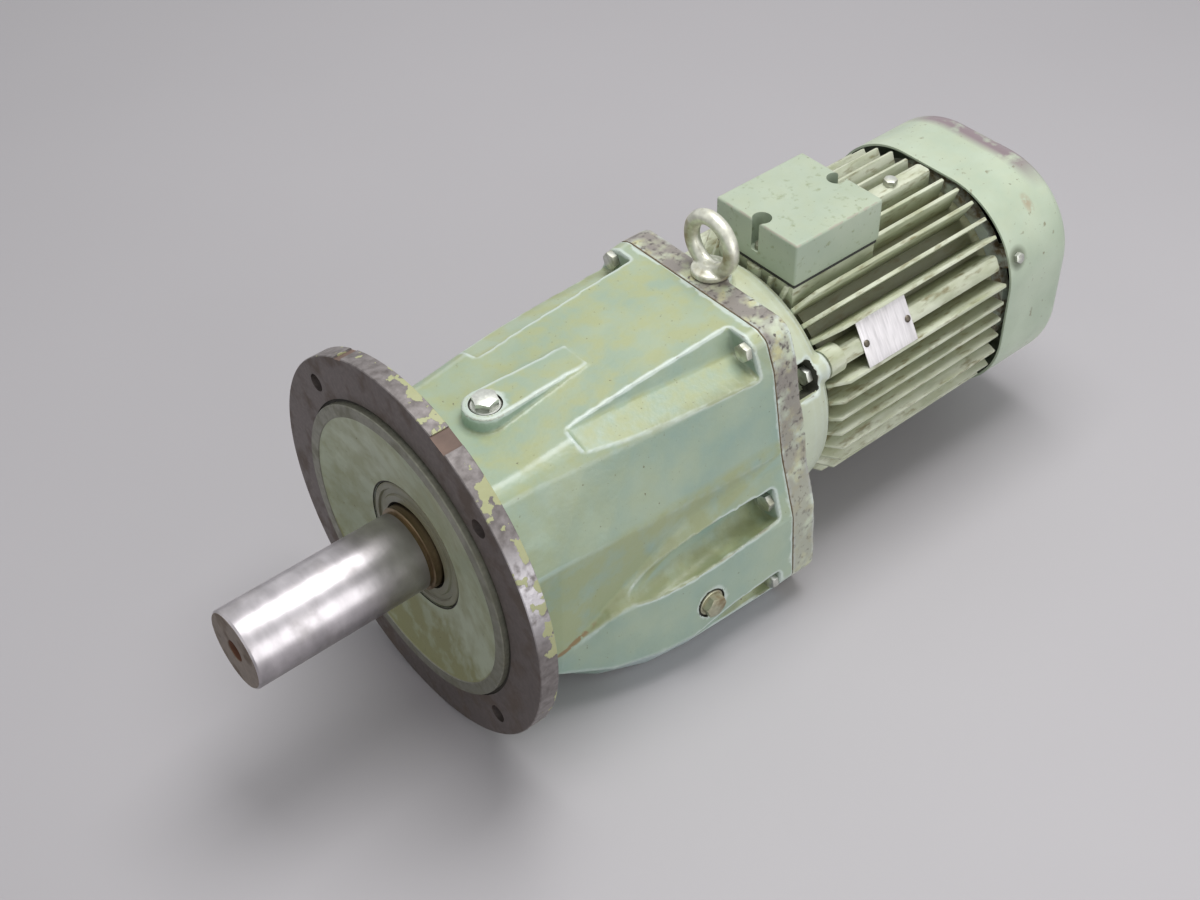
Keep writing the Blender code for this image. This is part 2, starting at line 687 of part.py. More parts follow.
def flange_disc():
    """Flange with its centring pilot and the groove at the foot of the pilot."""
    pilot = PILOT_DIAMETER / 2
    rim = FLANGE_DIAMETER / 2
    return turned(
        (
            (-PILOT_HEIGHT, 0.0),
            (-PILOT_HEIGHT, pilot),
            (PILOT_GROOVE_DEPTH, pilot),
            (PILOT_GROOVE_DEPTH, pilot + PILOT_GROOVE_WIDTH),
            (0.0, pilot + PILOT_GROOVE_WIDTH),
            (0.0, rim),
            (FLANGE_THICKNESS, rim),
            (FLANGE_THICKNESS, 0.0),
        ),
        FLANGE_ROUND,
    )


def filler_boss():
    """Round boss for the filler plug, faired back into the top face."""
    x0 = along(FILLER_STATION)
    radius = FILLER_BOSS_DIAMETER / 2
    low = 0.060
    nose = [(x0 + a, b) for a, b in regular(radius, SMALL_ROUND) if a < 0.0001]
    tail = x0 + FILLER_FAIRING_LENGTH
    outline = [(tail, 0.004 - radius), (tail, radius - 0.004)] + nose
    return upright(outline, low, FILLER_BOSS_TOP)


def flange_holes():
    """Fixing holes on the bolt circle."""
    places = regular(BOLT_CIRCLE / 2, FLANGE_HOLE_COUNT, math.pi / FLANGE_HOLE_COUNT)
    back = FLANGE_THICKNESS + 0.010
    return gather([round_bar(-0.010, back, FLANGE_HOLE_DIAMETER, SMALL_ROUND, y, z) for y, z in places])


def drilled_holes():
    """Housing bolt holes, dowel holes and the three plug threads."""
    bolt = HOUSING_BOLT_DIAMETER + 2 * BOLT_CLEARANCE
    back = HOUSING_LENGTH + 0.002
    shapes = [round_bar(POCKET_FLOOR - 0.001, back, bolt, DRILLED_ROUND, y, z) for y, z in bolt_places()]
    dowel = DOWEL_DIAMETER + 2 * BOLT_CLEARANCE
    start = HOUSING_LENGTH - DOWEL_LENGTH / 2 - SEAT_GAP
    shapes += [round_bar(start, back, dowel, DRILLED_ROUND, y, DOWEL_HEIGHT) for y in dowel_offsets()]
    thread = PLUG_THREAD_DIAMETER / 2 + BOLT_CLEARANCE
    down = pointing((0, 0, -1), (along(FILLER_STATION), 0.0, FILLER_BOSS_TOP + 0.001))
    shapes.append(placed(upright(regular(thread, DRILLED_ROUND), 0.0, 0.050), down))
    for side, station, height in ((-1, LEVEL_STATION, LEVEL_HEIGHT), (1, DRAIN_STATION, DRAIN_HEIGHT)):
        start = (along(station), side * (HOUSING_FOOT_HALF_WIDTH + 0.004), height)
        inward = pointing((0, -side, 0), start)
        shapes.append(placed(upright(regular(thread, DRILLED_ROUND), 0.0, 0.034), inward))
    return gather(shapes)


def plug_seats():
    """Shallow spot faces under the plug heads."""
    seat = PLUG_HEAD / math.sqrt(3) + 0.002
    shapes = []
    top = (along(FILLER_STATION), 0.0, FILLER_BOSS_TOP + 0.001)
    shapes.append(placed(upright(regular(seat, SMALL_ROUND), 0.0, 0.003), pointing((0, 0, -1), top)))
    for side, station, height in ((-1, LEVEL_STATION, LEVEL_HEIGHT), (1, DRAIN_STATION, DRAIN_HEIGHT)):
        start = (along(station), side * (HOUSING_FOOT_HALF_WIDTH + 0.004), height)
        depth = HOUSING_FOOT_HALF_WIDTH + 0.004 - plug_seat_offset()
        shapes.append(placed(upright(regular(seat, SMALL_ROUND), 0.0, depth), pointing((0, -side, 0), start)))
    return gather(shapes)


def plug_seat_offset():
    """Half width across the spot faces of the side plugs."""
    return HOUSING_FOOT_HALF_WIDTH - 0.006


def dowel_offsets():
    return (-HOUSING_WAIST_HALF_WIDTH + 0.0085, HOUSING_WAIST_HALF_WIDTH - 0.0085)


def gear_housing():
    """One-piece casting: flange, bearing nose and gear chamber."""
    made = piece("gear_housing", housing_body(), CAST_GREEN, AXIS_Z)
    fuse(made, flange_disc(), "housing_flange")
    fuse(made, filler_boss(), "housing_filler_boss")
    chamber = [
        [(along(CHAMBER_FRONT), y, z) for y, z in mirrored(chamber_half(chamber_reach() - 0.010))],
        [(along(HOUSING_LENGTH + 0.004), y, z) for y, z in mirrored(chamber_half(chamber_reach()))],
    ]
    cut(made, loft(chamber), "housing_chamber")
    cut(made, housing_bores(), "housing_bores")
    seat = LAY_FRONT_BEARING[1] + 2 * SEAT_GAP
    start = LAY_FRONT_STATION - SEAT_GAP
    bearing_seat = round_bar(start, CHAMBER_FRONT + 0.002, seat, INNER_ROUND, 0.0, -OUTPUT_CENTRES)
    cut(made, bearing_seat, "housing_lay_seat")
    cut(made, bolt_pockets(), "housing_pockets")
    cut(made, flange_holes(), "housing_flange_holes")
    cut(made, plug_seats(), "housing_plug_seats")
    cut(made, drilled_holes(), "housing_drillings")


def housing_gasket():
    """Flat gasket with the outline of the joint."""
    start = HOUSING_LENGTH + SEAT_GAP
    end = start + GASKET_THICKNESS
    sheet = prism(rounded(mirrored(rim_half()), 0.006), start, end)
    made = piece("housing_gasket", sheet, GASKET_PAPER, AXIS_Z)
    cut(made, prism(mirrored(chamber_half(chamber_reach())), start - 0.001, end + 0.001), "gasket_window")
    bolt = HOUSING_BOLT_DIAMETER + 2 * BOLT_CLEARANCE
    dowel = DOWEL_DIAMETER + 2 * BOLT_CLEARANCE
    holes = [round_bar(start - 0.001, end + 0.001, bolt, DRILLED_ROUND, y, z) for y, z in bolt_places()]
    for y in dowel_offsets():
        holes.append(round_bar(start - 0.001, end + 0.001, dowel, DRILLED_ROUND, y, DOWEL_HEIGHT))
    cut(made, gather(holes), "gasket_holes")


def housing_fasteners():
    """Six housing bolts in their pockets and two dowels across the joint."""
    length = PLATE_BACK - 0.004 - POCKET_FLOOR
    turn = Matrix.Rotation(math.pi / 2, 4, "Y")
    for number, (y, z) in enumerate(bolt_places(), 1):
        shape = hex_screw(HOUSING_BOLT_DIAMETER, HOUSING_BOLT_HEAD, HOUSING_BOLT_HEAD_HEIGHT, length)
        placed(shape, Matrix.Translation((along(POCKET_FLOOR - SEAT_GAP), y, z)) @ turn)
        piece("housing_bolt_%d" % number, shape, ZINC, AXIS_Z)
    start = HOUSING_LENGTH - DOWEL_LENGTH / 2
    for number, y in enumerate(dowel_offsets(), 1):
        shape = round_bar(start, start + DOWEL_LENGTH, DOWEL_DIAMETER, DRILLED_ROUND, y, DOWEL_HEIGHT)
        piece("dowel_pin_%d" % number, shape, STEEL, AXIS_Z)


def housing_plugs():
    """Filler plug on top, level plug low at the -Y side and drain plug at the +Y side."""
    top = (along(FILLER_STATION), 0.0, FILLER_BOSS_TOP - 0.002 + SEAT_GAP)
    side = plug_seat_offset() + SEAT_GAP
    places = (
        ("filler_plug", top, (0, 0, -1)),
        ("level_plug", (along(LEVEL_STATION), -side, LEVEL_HEIGHT), (0, 1, 0)),
        ("drain_plug", (along(DRAIN_STATION), side, DRAIN_HEIGHT), (0, -1, 0)),
    )
    for name, origin, inward in places:
        shape = hex_screw(PLUG_THREAD_DIAMETER, PLUG_HEAD, PLUG_HEAD_HEIGHT, PLUG_LENGTH)
        piece(name, placed(shape, pointing(inward, origin)), ZINC, AXIS_Z)


def seal(name, station, outside, width, shaft, height, finish, segments):
    """Shaft seal: a case with a lip that runs just clear of the shaft."""
    lip = shaft / 2 + LIP_PLAY
    relief = lip + 0.0022
    rim = outside / 2
    end = station + width
    profile = (
        (station, relief),
        (station, rim),
        (end, rim),
        (end, lip),
        (station + 0.6 * width, lip),
    )
    piece(name, turned(profile, segments), finish, height)


def tooth_outline(teeth, pitch, module, pressure):
    """Half-tooth points (radius, half angle) on an involute tooth; a pinion also gets its pitch point."""
    base = pitch * math.cos(pressure)
    tip = pitch + ADDENDUM_SHARE * module
    root = pitch - DEDENDUM_SHARE * module
    half = (math.pi * pitch / teeth - BACKLASH) / 2 / pitch
    at_pitch = math.tan(pressure) - pressure

    def half_angle(radius):
        pressure_here = math.acos(min(1.0, base / radius))
        return half + at_pitch - (math.tan(pressure_here) - pressure_here)

    foot = (root, half_angle(max(base, root + 0.3 * module)) + 0.10 * math.pi / teeth)
    top = (tip, half_angle(tip))
    return (foot, (pitch, half), top) if teeth < 20 else (foot, top)


def gear_ring(teeth, points, turn, station):
    """One closed ring of tooth points at a station."""
    ring = []
    for tooth in range(teeth):
        middle = turn + 2 * math.pi * tooth / teeth
        for radius, half in points:
            ring.append((along(station), radius * math.cos(middle - half), radius * math.sin(middle - half)))
        for radius, half in reversed(points):
            ring.append((along(station), radius * math.cos(middle + half), radius * math.sin(middle + half)))
    return ring


def helical_gear(teeth, mate_teeth, centres, normal_module, hand, width, start, middle, slices, first_angle):
    """A helical gear whose tooth or gap lies at first_angle in the middle plane."""
    helix = math.acos(normal_module * (teeth + mate_teeth) / (2 * centres))
    pitch = centres * teeth / (teeth + mate_teeth)
    pressure = math.atan(math.tan(PRESSURE_ANGLE) / math.cos(helix))
    points = tooth_outline(teeth, pitch, normal_module, pressure)
    twist = hand * math.tan(helix) / pitch
    rings = []
    for k in range(slices + 1):
        station = start + width * k / slices
        rings.append(gear_ring(teeth, points, first_angle + twist * (station - middle), station))
    return loft(rings)


def output_group():
    """Output shaft with its gear, key and inner rings."""
    axis = body_axis("output_axis", AXIS_Z)
    end = SHAFT_END_DIAMETER / 2
    seat = SEAL_SEAT_DIAMETER / 2
    rear_seat = OUTPUT_REAR_BEARING[0] / 2
    gear_seat = GEAR_SEAT_DIAMETER / 2
    front_end = OUTPUT_FRONT_STATION + OUTPUT_FRONT_BEARING[2]
    rear_end = OUTPUT_REAR_STATION + OUTPUT_REAR_BEARING[2]
    gear_end = OUTPUT_GEAR_STATION + OUTPUT_GEAR_WIDTH
    tip = -SHAFT_END_LENGTH
    profile = (
        (tip, 0.0),
        (tip, end - SHAFT_CHAMFER),
        (tip + SHAFT_CHAMFER, end),
        (0.0, end),
        (0.0, seat),
        (front_end + SEAT_GAP, seat),
        (front_end + SEAT_GAP, SHAFT_SHOULDER_DIAMETER / 2),
        (OUTPUT_REAR_STATION - SEAT_GAP, SHAFT_SHOULDER_DIAMETER / 2),
        (OUTPUT_REAR_STATION - SEAT_GAP, rear_seat),
        (rear_end + 0.001, rear_seat),
        (rear_end + 0.001, gear_seat),
        (gear_end + 0.004, gear_seat),
        (gear_end + 0.004, 0.0),
    )
    shaft = piece("output_shaft", turned(profile), STEEL, 0.0, axis)
    keyway_start = -(SHAFT_END_LENGTH + SHAFT_KEYWAY_LENGTH) / 2
    keyway = keyway_tool(keyway_start, SHAFT_KEYWAY_LENGTH, SHAFT_KEY_WIDTH, end - SHAFT_KEYWAY_DEPTH)
    cut(shaft, keyway, "shaft_keyway")
    key_start = OUTPUT_GEAR_STATION + (OUTPUT_GEAR_WIDTH - GEAR_KEY_LENGTH) / 2
    key_bed = gear_seat - GEAR_KEY_HEIGHT * 0.6
    key_end = key_start + GEAR_KEY_LENGTH
    half = SHAFT_KEY_WIDTH / 2
    slot_half = half + SEAT_GAP
    slot_ends = (along(key_start - SEAT_GAP), along(key_end + SEAT_GAP))
    slot = box_shape(*slot_ends, key_bed, gear_seat + 0.002, -slot_half, slot_half)
    cut(shaft, slot, "gear_key_bed")
    centre = round_bar(tip - 0.001, tip + CENTRE_HOLE_DEPTH, CENTRE_HOLE_DIAMETER)
    cut(shaft, centre, "centre_hole")
    key_low = key_bed + SEAT_GAP
    key = box_shape(along(key_start), along(key_end), key_low, key_low + GEAR_KEY_HEIGHT, -half, half)
    piece("output_gear_key", key, STEEL, 0.0, axis)
    middle = OUTPUT_GEAR_STATION + OUTPUT_GEAR_WIDTH / 2
    gap_at_bottom = -math.pi / 2 + math.pi / OUTPUT_GEAR_TEETH
    shape = helical_gear(
        OUTPUT_GEAR_TEETH, LAY_PINION_TEETH, OUTPUT_CENTRES, OUTPUT_NORMAL_MODULE, 1,
        OUTPUT_GEAR_WIDTH, OUTPUT_GEAR_STATION, middle, 1, gap_at_bottom,
    )
    gear = piece("output_gear", shape, STEEL, 0.0, axis)
    bore = GEAR_SEAT_DIAMETER + 2 * SEAT_GAP
    cut(gear, round_bar(OUTPUT_GEAR_STATION - 0.002, gear_end + 0.002, bore, ROUND), "output_gear_bore")
    slot_x = (along(OUTPUT_GEAR_STATION - 0.002), along(gear_end + 0.002))
    slot = box_shape(*slot_x, key_bed, key_low + GEAR_KEY_HEIGHT + SEAT_GAP, -slot_half, slot_half)
    cut(gear, slot, "output_gear_keyway")
    bearing_rings("output_front_bearing", OUTPUT_FRONT_BEARING, OUTPUT_FRONT_STATION, AXIS_Z, axis)
    bearing_rings("output_rear_bearing", OUTPUT_REAR_BEARING, OUTPUT_REAR_STATION, AXIS_Z, axis)


def box_shape(x0, x1, y0, y1, z0, z1):
    """A plain block, for keys and slots."""
    return upright(rectangle(x0, x1, y0, y1), z0, z1)


def keyway_tool(start, length, width, depth_radius):
    """Round-ended keyway on the +Y side of a shaft."""
    radius = width / 2
    x0 = along(start) + radius
    x1 = along(start + length) - radius
    outline = []
    for k in range(9):
        angle = math.pi / 2 + math.pi * k / 8
        outline.append((x0 + radius * math.cos(angle), radius * math.sin(angle)))
    for k in range(9):
        angle = -math.pi / 2 + math.pi * k / 8
        outline.append((x1 + radius * math.cos(angle), radius * math.sin(angle)))
    rings = [[(x, y, z) for x, z in outline] for y in (depth_radius, depth_radius + 0.020)]
    return loft(rings)


def lay_group():
    """Lay shaft with its pinion, the intermediate gear and the inner rings."""
    axis = body_axis("lay_axis", LAY_Z)
    middle = OUTPUT_GEAR_STATION + OUTPUT_GEAR_WIDTH / 2
    pinion_start = middle - LAY_PINION_WIDTH / 2
    front = LAY_FRONT_BEARING[0] / 2
    rear = LAY_REAR_BEARING[0] / 2
    core = 0.0165
    gear_end = LAY_GEAR_STATION + LAY_GEAR_WIDTH
    rear_end = LAY_REAR_STATION + LAY_REAR_BEARING[2]
    front_profile = (
        (LAY_FRONT_STATION, 0.0),
        (LAY_FRONT_STATION, front),
        (LAY_FRONT_STATION + LAY_FRONT_BEARING[2] + SEAT_GAP, front),
        (LAY_FRONT_STATION + LAY_FRONT_BEARING[2] + SEAT_GAP, core),
        (LAY_GEAR_STATION - 0.004, core),
        (LAY_GEAR_STATION - 0.004, core + 0.004),
        (LAY_GEAR_STATION - SEAT_GAP, core + 0.004),
        (LAY_GEAR_STATION - SEAT_GAP, core),
        (LAY_REAR_STATION - SEAT_GAP, core),
        (LAY_REAR_STATION - SEAT_GAP, rear),
        (rear_end, rear),
        (rear_end, 0.0),
    )
    shaft = piece("lay_shaft", turned(front_profile, INNER_ROUND), STEEL, 0.0, axis)
    shape = helical_gear(
        LAY_PINION_TEETH, OUTPUT_GEAR_TEETH, OUTPUT_CENTRES, OUTPUT_NORMAL_MODULE, -1,
        LAY_PINION_WIDTH, pinion_start, middle, 3, math.pi / 2,
    )
    fuse(shaft, shape, "lay_pinion")
    middle = LAY_GEAR_STATION + LAY_GEAR_WIDTH / 2
    shape = helical_gear(
        LAY_GEAR_TEETH, MOTOR_PINION_TEETH, MOTOR_CENTRES, MOTOR_NORMAL_MODULE, 1,
        LAY_GEAR_WIDTH, LAY_GEAR_STATION, middle, 1, math.pi / 2,
    )
    gear = piece("intermediate_gear", shape, STEEL, 0.0, axis)
    bore = round_bar(LAY_GEAR_STATION - 0.002, gear_end + 0.002, 2 * (core + SEAT_GAP), INNER_ROUND)
    cut(gear, bore, "intermediate_gear_bore")
    bearing_rings("lay_front_bearing", LAY_FRONT_BEARING, LAY_FRONT_STATION, LAY_Z, axis, INNER_ROUND)
    bearing_rings("lay_rear_bearing", LAY_REAR_BEARING, LAY_REAR_STATION, LAY_Z, axis, INNER_ROUND)


def rotor_group():
    """Rotor shaft, rotor core, motor pinion, fan and inner rings."""
    axis = body_axis("rotor_axis", MOTOR_Z)
    middle = LAY_GEAR_STATION + LAY_GEAR_WIDTH / 2
    pinion_start = middle - MOTOR_PINION_WIDTH / 2
    pinion_end = middle + MOTOR_PINION_WIDTH / 2
    pinion_seat = PINION_SEAT_DIAMETER / 2
    front = ROTOR_FRONT_BEARING[0] / 2
    rear = ROTOR_REAR_BEARING[0] / 2
    thick = ROTOR_SHAFT_DIAMETER / 2
    front_end = ROTOR_FRONT_STATION + ROTOR_FRONT_BEARING[2]
    rear_end = ROTOR_REAR_STATION + ROTOR_REAR_BEARING[2]
    fan_start = rear_end + 0.012
    profile = (
        (pinion_start, 0.0),
        (pinion_start, pinion_seat),
        (pinion_end + SEAT_GAP, pinion_seat),
        (pinion_end + SEAT_GAP, pinion_seat + 0.003),
        (ADAPTER_FACE - 0.001, pinion_seat + 0.003),
        (ADAPTER_FACE - 0.001, front),
        (front_end + SEAT_GAP, front),
        (front_end + SEAT_GAP, thick),
        (ROTOR_REAR_STATION - SEAT_GAP, thick),
        (ROTOR_REAR_STATION - SEAT_GAP, rear),
        (rear_end, rear),
        (rear_end, rear - 0.002),
        (fan_start + FAN_WIDTH + 0.004, rear - 0.002),
        (fan_start + FAN_WIDTH + 0.004, 0.0),
    )
    piece("rotor_shaft", turned(profile, INNER_ROUND), STEEL, 0.0, axis)
    shape = helical_gear(
        MOTOR_PINION_TEETH, LAY_GEAR_TEETH, MOTOR_CENTRES, MOTOR_NORMAL_MODULE, -1,
        MOTOR_PINION_WIDTH, pinion_start, middle, 3, -math.pi / 2 + math.pi / MOTOR_PINION_TEETH,
    )
    pinion = piece("motor_pinion", shape, STEEL, 0.0, axis)
    hole = PINION_SEAT_DIAMETER + 2 * SEAT_GAP
    cut(pinion, round_bar(pinion_start - 0.002, pinion_end + 0.002, hole, INNER_ROUND), "motor_pinion_bore")
    core_end = CORE_STATION + CORE_LENGTH
    low = thick + SEAT_GAP
    rim = ROTOR_DIAMETER / 2
    core = ((CORE_STATION, low), (CORE_STATION, rim), (core_end, rim), (core_end, low))
    piece("rotor_core", turned(core), LAMINATION, 0.0, axis)
    cooling_fan(axis, fan_start, rear - 0.002 + SEAT_GAP)
    bearing_rings("rotor_front_bearing", ROTOR_FRONT_BEARING, ROTOR_FRONT_STATION, MOTOR_Z, axis, INNER_ROUND)
    bearing_rings("rotor_rear_bearing", ROTOR_REAR_BEARING, ROTOR_REAR_STATION, MOTOR_Z, axis, INNER_ROUND)


def cooling_fan(axis, start, bore):
    """Fan with a thin back plate and straight radial blades, for either turning direction."""
    hub = FAN_HUB_DIAMETER / 2
    plate = 0.003
    rim = FAN_DIAMETER / 2
    profile = (
        (start, bore),
        (start, rim),
        (start + plate, rim),
        (start + plate, hub),
        (start + FAN_WIDTH, hub),
        (start + FAN_WIDTH, bore),
    )
    fan = piece("cooling_fan", turned(profile, INNER_ROUND), BLACK_PLASTIC, 0.0, axis)
    for number in range(FAN_BLADES):
        half = FAN_BLADE_THICKNESS / 2
        x0, x1 = along(start + plate / 2), along(start + FAN_WIDTH - 0.002)
        blade = box_shape(x0, x1, hub - 0.002, rim - 0.001, -half, half)
        placed(blade, Matrix.Rotation(2 * math.pi * number / FAN_BLADES, 4, "X"))
        fuse(fan, blade, "fan_blade_%d" % number)


def polar(radius, degrees):
    return (radius * math.cos(math.radians(degrees)), radius * math.sin(math.radians(degrees)))


def motor_adapter():
    """Cover plate and domed motor flange as one casting."""
    drop = MOTOR_Z - AXIS_Z
    outline = [(y, z - drop) for y, z in rounded(mirrored(rim_half()), 0.006)]
    made = piece("motor_adapter", prism(outline, ADAPTER_FACE, PLATE_BACK), CAST_GREEN, MOTOR_Z)
    face = FRAME_FRONT - SEAT_GAP
    spigot = FRAME_BORE / 2 - SEAT_GAP
    hollow = spigot - ADAPTER_WALL
    dome = turned(
        (
            (PLATE_BACK - 0.002, 0.0),
            (PLATE_BACK - 0.002, DOME_DIAMETER / 2),
            (PLATE_BACK + DOME_LENGTH * 0.35, DOME_DIAMETER / 2 - 0.001),
            (PLATE_BACK + DOME_LENGTH * 0.75, DOME_DIAMETER / 2 - 0.005),
            (face, MOTOR_FACE_DIAMETER / 2),
            (face, spigot),
            (face + SPIGOT_LENGTH, spigot),
            (face + SPIGOT_LENGTH, hollow),
            (PLATE_BACK + 0.010, hollow),
            (PLATE_BACK + 0.010, ROTOR_FRONT_BEARING[1] / 2 + 0.007),
            (ROTOR_FRONT_STATION + ROTOR_FRONT_BEARING[2] + 0.002, ROTOR_FRONT_BEARING[1] / 2 + 0.007),
            (ROTOR_FRONT_STATION + ROTOR_FRONT_BEARING[2] + 0.002, 0.0),
        ),
        ROUND,
    )
    fuse(made, dome, "adapter_dome")
    seat = regular(EYE_COLLAR_DIAMETER / 2 + 0.001, SMALL_ROUND, 0.0, (along(EYEBOLT_STATION), 0.0))
    boss = upright(seat, EYE_BOSS_FOOT, eye_seat())
    fuse(made, boss, "adapter_eye_boss")
    seal_end = ADAPTER_FACE + MOTOR_SEAL_WIDTH + 0.002
    bearing_back = ROTOR_FRONT_STATION - SEAT_GAP
    bore = turned(
        (
            (ADAPTER_FACE - 0.002, 0.0),
            (ADAPTER_FACE - 0.002, MOTOR_SEAL_DIAMETER / 2 + SEAT_GAP),
            (seal_end, MOTOR_SEAL_DIAMETER / 2 + SEAT_GAP),
            (seal_end, ROTOR_FRONT_BEARING[0] / 2 + 0.002),
            (bearing_back, ROTOR_FRONT_BEARING[0] / 2 + 0.002),
            (bearing_back, ROTOR_FRONT_BEARING[1] / 2 + SEAT_GAP),
            (FRAME_FRONT + 0.020, ROTOR_FRONT_BEARING[1] / 2 + SEAT_GAP),
            (FRAME_FRONT + 0.020, 0.0),
        ),
        INNER_ROUND,
    )
    cut(made, bore, "adapter_bore")
    lay_bore = LAY_REAR_BEARING[1] + 2 * SEAT_GAP
    lay_end = LAY_REAR_STATION + LAY_REAR_BEARING[2] + SEAT_GAP
    lay_seat = round_bar(ADAPTER_FACE - 0.002, lay_end, lay_bore, INNER_ROUND, 0.0, -MOTOR_CENTRES)
    cut(made, lay_seat, "adapter_lay_seat")
    pocket_end = face - LUG_LENGTH
    pockets = []
    for number, degrees in enumerate(MOTOR_BOLT_ANGLES):
        y, z = polar(MOTOR_BOLT_RADIUS, degrees)
        lug = round_bar(pocket_end - 0.002, face, LUG_DIAMETER, SMALL_ROUND, y, z)
        fuse(made, lug, "adapter_lug_%d" % number)
        far = polar(MOTOR_BOLT_RADIUS + 0.030, degrees)
        pockets.append(slot_tool(PLATE_BACK + 0.001, pocket_end, LUG_DIAMETER / 2 + 0.0006, (y, z), far))
    cut(made, gather(pockets), "adapter_pockets")
    bolt = HOUSING_BOLT_DIAMETER + 2 * BOLT_CLEARANCE
    dowel = DOWEL_DIAMETER + 2 * BOLT_CLEARANCE
    front = ADAPTER_FACE - 0.002
    holes = [round_bar(front, PLATE_BACK - 0.003, bolt, DRILLED_ROUND, y, z - drop) for y, z in bolt_places()]
    dowel_end = HOUSING_LENGTH + DOWEL_LENGTH / 2 + SEAT_GAP
    for y in dowel_offsets():
        holes.append(round_bar(front, dowel_end, dowel, DRILLED_ROUND, y, DOWEL_HEIGHT - drop))
    shank = MOTOR_BOLT_DIAMETER + 2 * BOLT_CLEARANCE
    for degrees in MOTOR_BOLT_ANGLES:
        y, z = polar(MOTOR_BOLT_RADIUS, degrees)
        holes.append(round_bar(pocket_end - 0.001, face + 0.001, shank, DRILLED_ROUND, y, z))
    depth = EYE_THREAD_LENGTH + 2 * SEAT_GAP
    eye_place = (along(EYEBOLT_STATION), 0.0)
    thread = regular(EYE_THREAD_DIAMETER / 2 + BOLT_CLEARANCE, DRILLED_ROUND, 0.0, eye_place)
    holes.append(upright(thread, eye_seat() - depth, eye_seat() + 0.002))
    cut(made, gather(holes), "adapter_drillings")


def eye_seat():
    """Height of the eyebolt's seat above the motor axis."""
    return AXIS_Z - MOTOR_Z + HOUSING_TOP + 0.001


def slot_tool(start, end, radius, near, far):
    """A slot along X whose outline is a round-ended bar from one (y, z) point to another."""
    direction = math.atan2(far[1] - near[1], far[0] - near[0])
    outline = []
    for k in range(7):
        angle = direction + math.pi / 2 + math.pi * k / 6
        outline.append((near[0] + radius * math.cos(angle), near[1] + radius * math.sin(angle)))
    for angle in (direction - math.pi / 2, direction + math.pi / 2):
        outline.append((far[0] + radius * math.cos(angle), far[1] + radius * math.sin(angle)))
    return prism(outline, start, end)


def lifting_eyebolt():
    """Eyebolt: ring across the machine, collar and thread."""
    seat = eye_seat() + SEAT_GAP
    x0 = along(EYEBOLT_STATION)
    tube = (EYE_OUTSIDE - EYE_INSIDE) / 4
    middle = (EYE_OUTSIDE + EYE_INSIDE) / 4
    centre = seat + EYE_HEIGHT - EYE_OUTSIDE / 2
    shape = bmesh.new()
    ring = [shape.verts.new((x0 + a, middle + b, centre)) for a, b in regular(tube, 8)]
    edges = [shape.edges.new((ring[i - 1], ring[i])) for i in range(8)]
    bmesh.ops.spin(
        shape, geom=ring + edges, cent=(x0, 0.0, centre), axis=(1.0, 0.0, 0.0),
        angle=2 * math.pi, steps=24, use_merge=True
    )
    bmesh.ops.remove_doubles(shape, verts=shape.verts, dist=0.000001)
    bmesh.ops.recalc_face_normals(shape, faces=shape.faces)
    made = piece("lifting_eyebolt", shape, ZINC, MOTOR_Z)
    collar = EYE_COLLAR_DIAMETER / 2
    foot = loft(
        [
            [(x, y, z) for x, y in regular(radius, SMALL_ROUND, 0.0, (x0, 0.0))]
            for radius, z in (
                (collar, seat),
                (collar, seat + EYE_COLLAR_HEIGHT),
                (collar * 0.62, centre - middle),
                (collar * 0.35, centre - middle + tube * 0.4),
            )
        ]
    )
    fuse(made, foot, "eyebolt_collar")
    thread = regular(EYE_THREAD_DIAMETER / 2, DRILLED_ROUND, 0.0, (x0, 0.0))
    stem = upright(thread, seat - EYE_THREAD_LENGTH, seat + 0.002)
    fuse(made, stem, "eyebolt_thread")


def square_reach(half, corner, angle):
    """Distance from the centre of a rounded square to its outline."""
    offset = half - corner
    a, b = abs(math.cos(angle)), abs(math.sin(angle))
    flat = half / max(a, b)
    if flat * min(a, b) <= offset:
        return flat
    return offset * (a + b) + math.sqrt(corner**2 - (offset * (a - b)) ** 2)


def fin_angles():
    """Angles of the thin fins, spread evenly between the wide ribs."""
    angles = []
    stops = RIB_ANGLES + (RIB_ANGLES[0] + 360,)
    for first, last, count in zip(stops, stops[1:], FINS_BETWEEN_RIBS):
        span = last - first - 2 * RIB_MARGIN
        angles += [math.radians(first + RIB_MARGIN + span * k / (count - 1)) for k in range(count)]
    return angles


def fin_outline():
    """Outline of the finned frame: radial fins on a rounded square envelope, and wide ribs."""
    root = FRAME_ROOT_DIAMETER / 2
    teeth = []
    for angle in fin_angles():
        teeth.append((angle, FIN_THICKNESS / 2, square_reach(FIN_HALF_WIDTH, FIN_CORNER_RADIUS, angle)))
    teeth += [(math.radians(angle), RIB_WIDTH / 2, RIB_DIAMETER / 2) for angle in RIB_ANGLES]
    outline = []
    for middle, half, tip in sorted(teeth, key=lambda tooth: tooth[0]):
        for radius, side in ((root, -1), (tip, -1), (tip, 1), (root, 1)):
            angle = middle + side * math.asin(half / radius)
            outline.append((radius * math.cos(angle), radius * math.sin(angle)))
    return outline


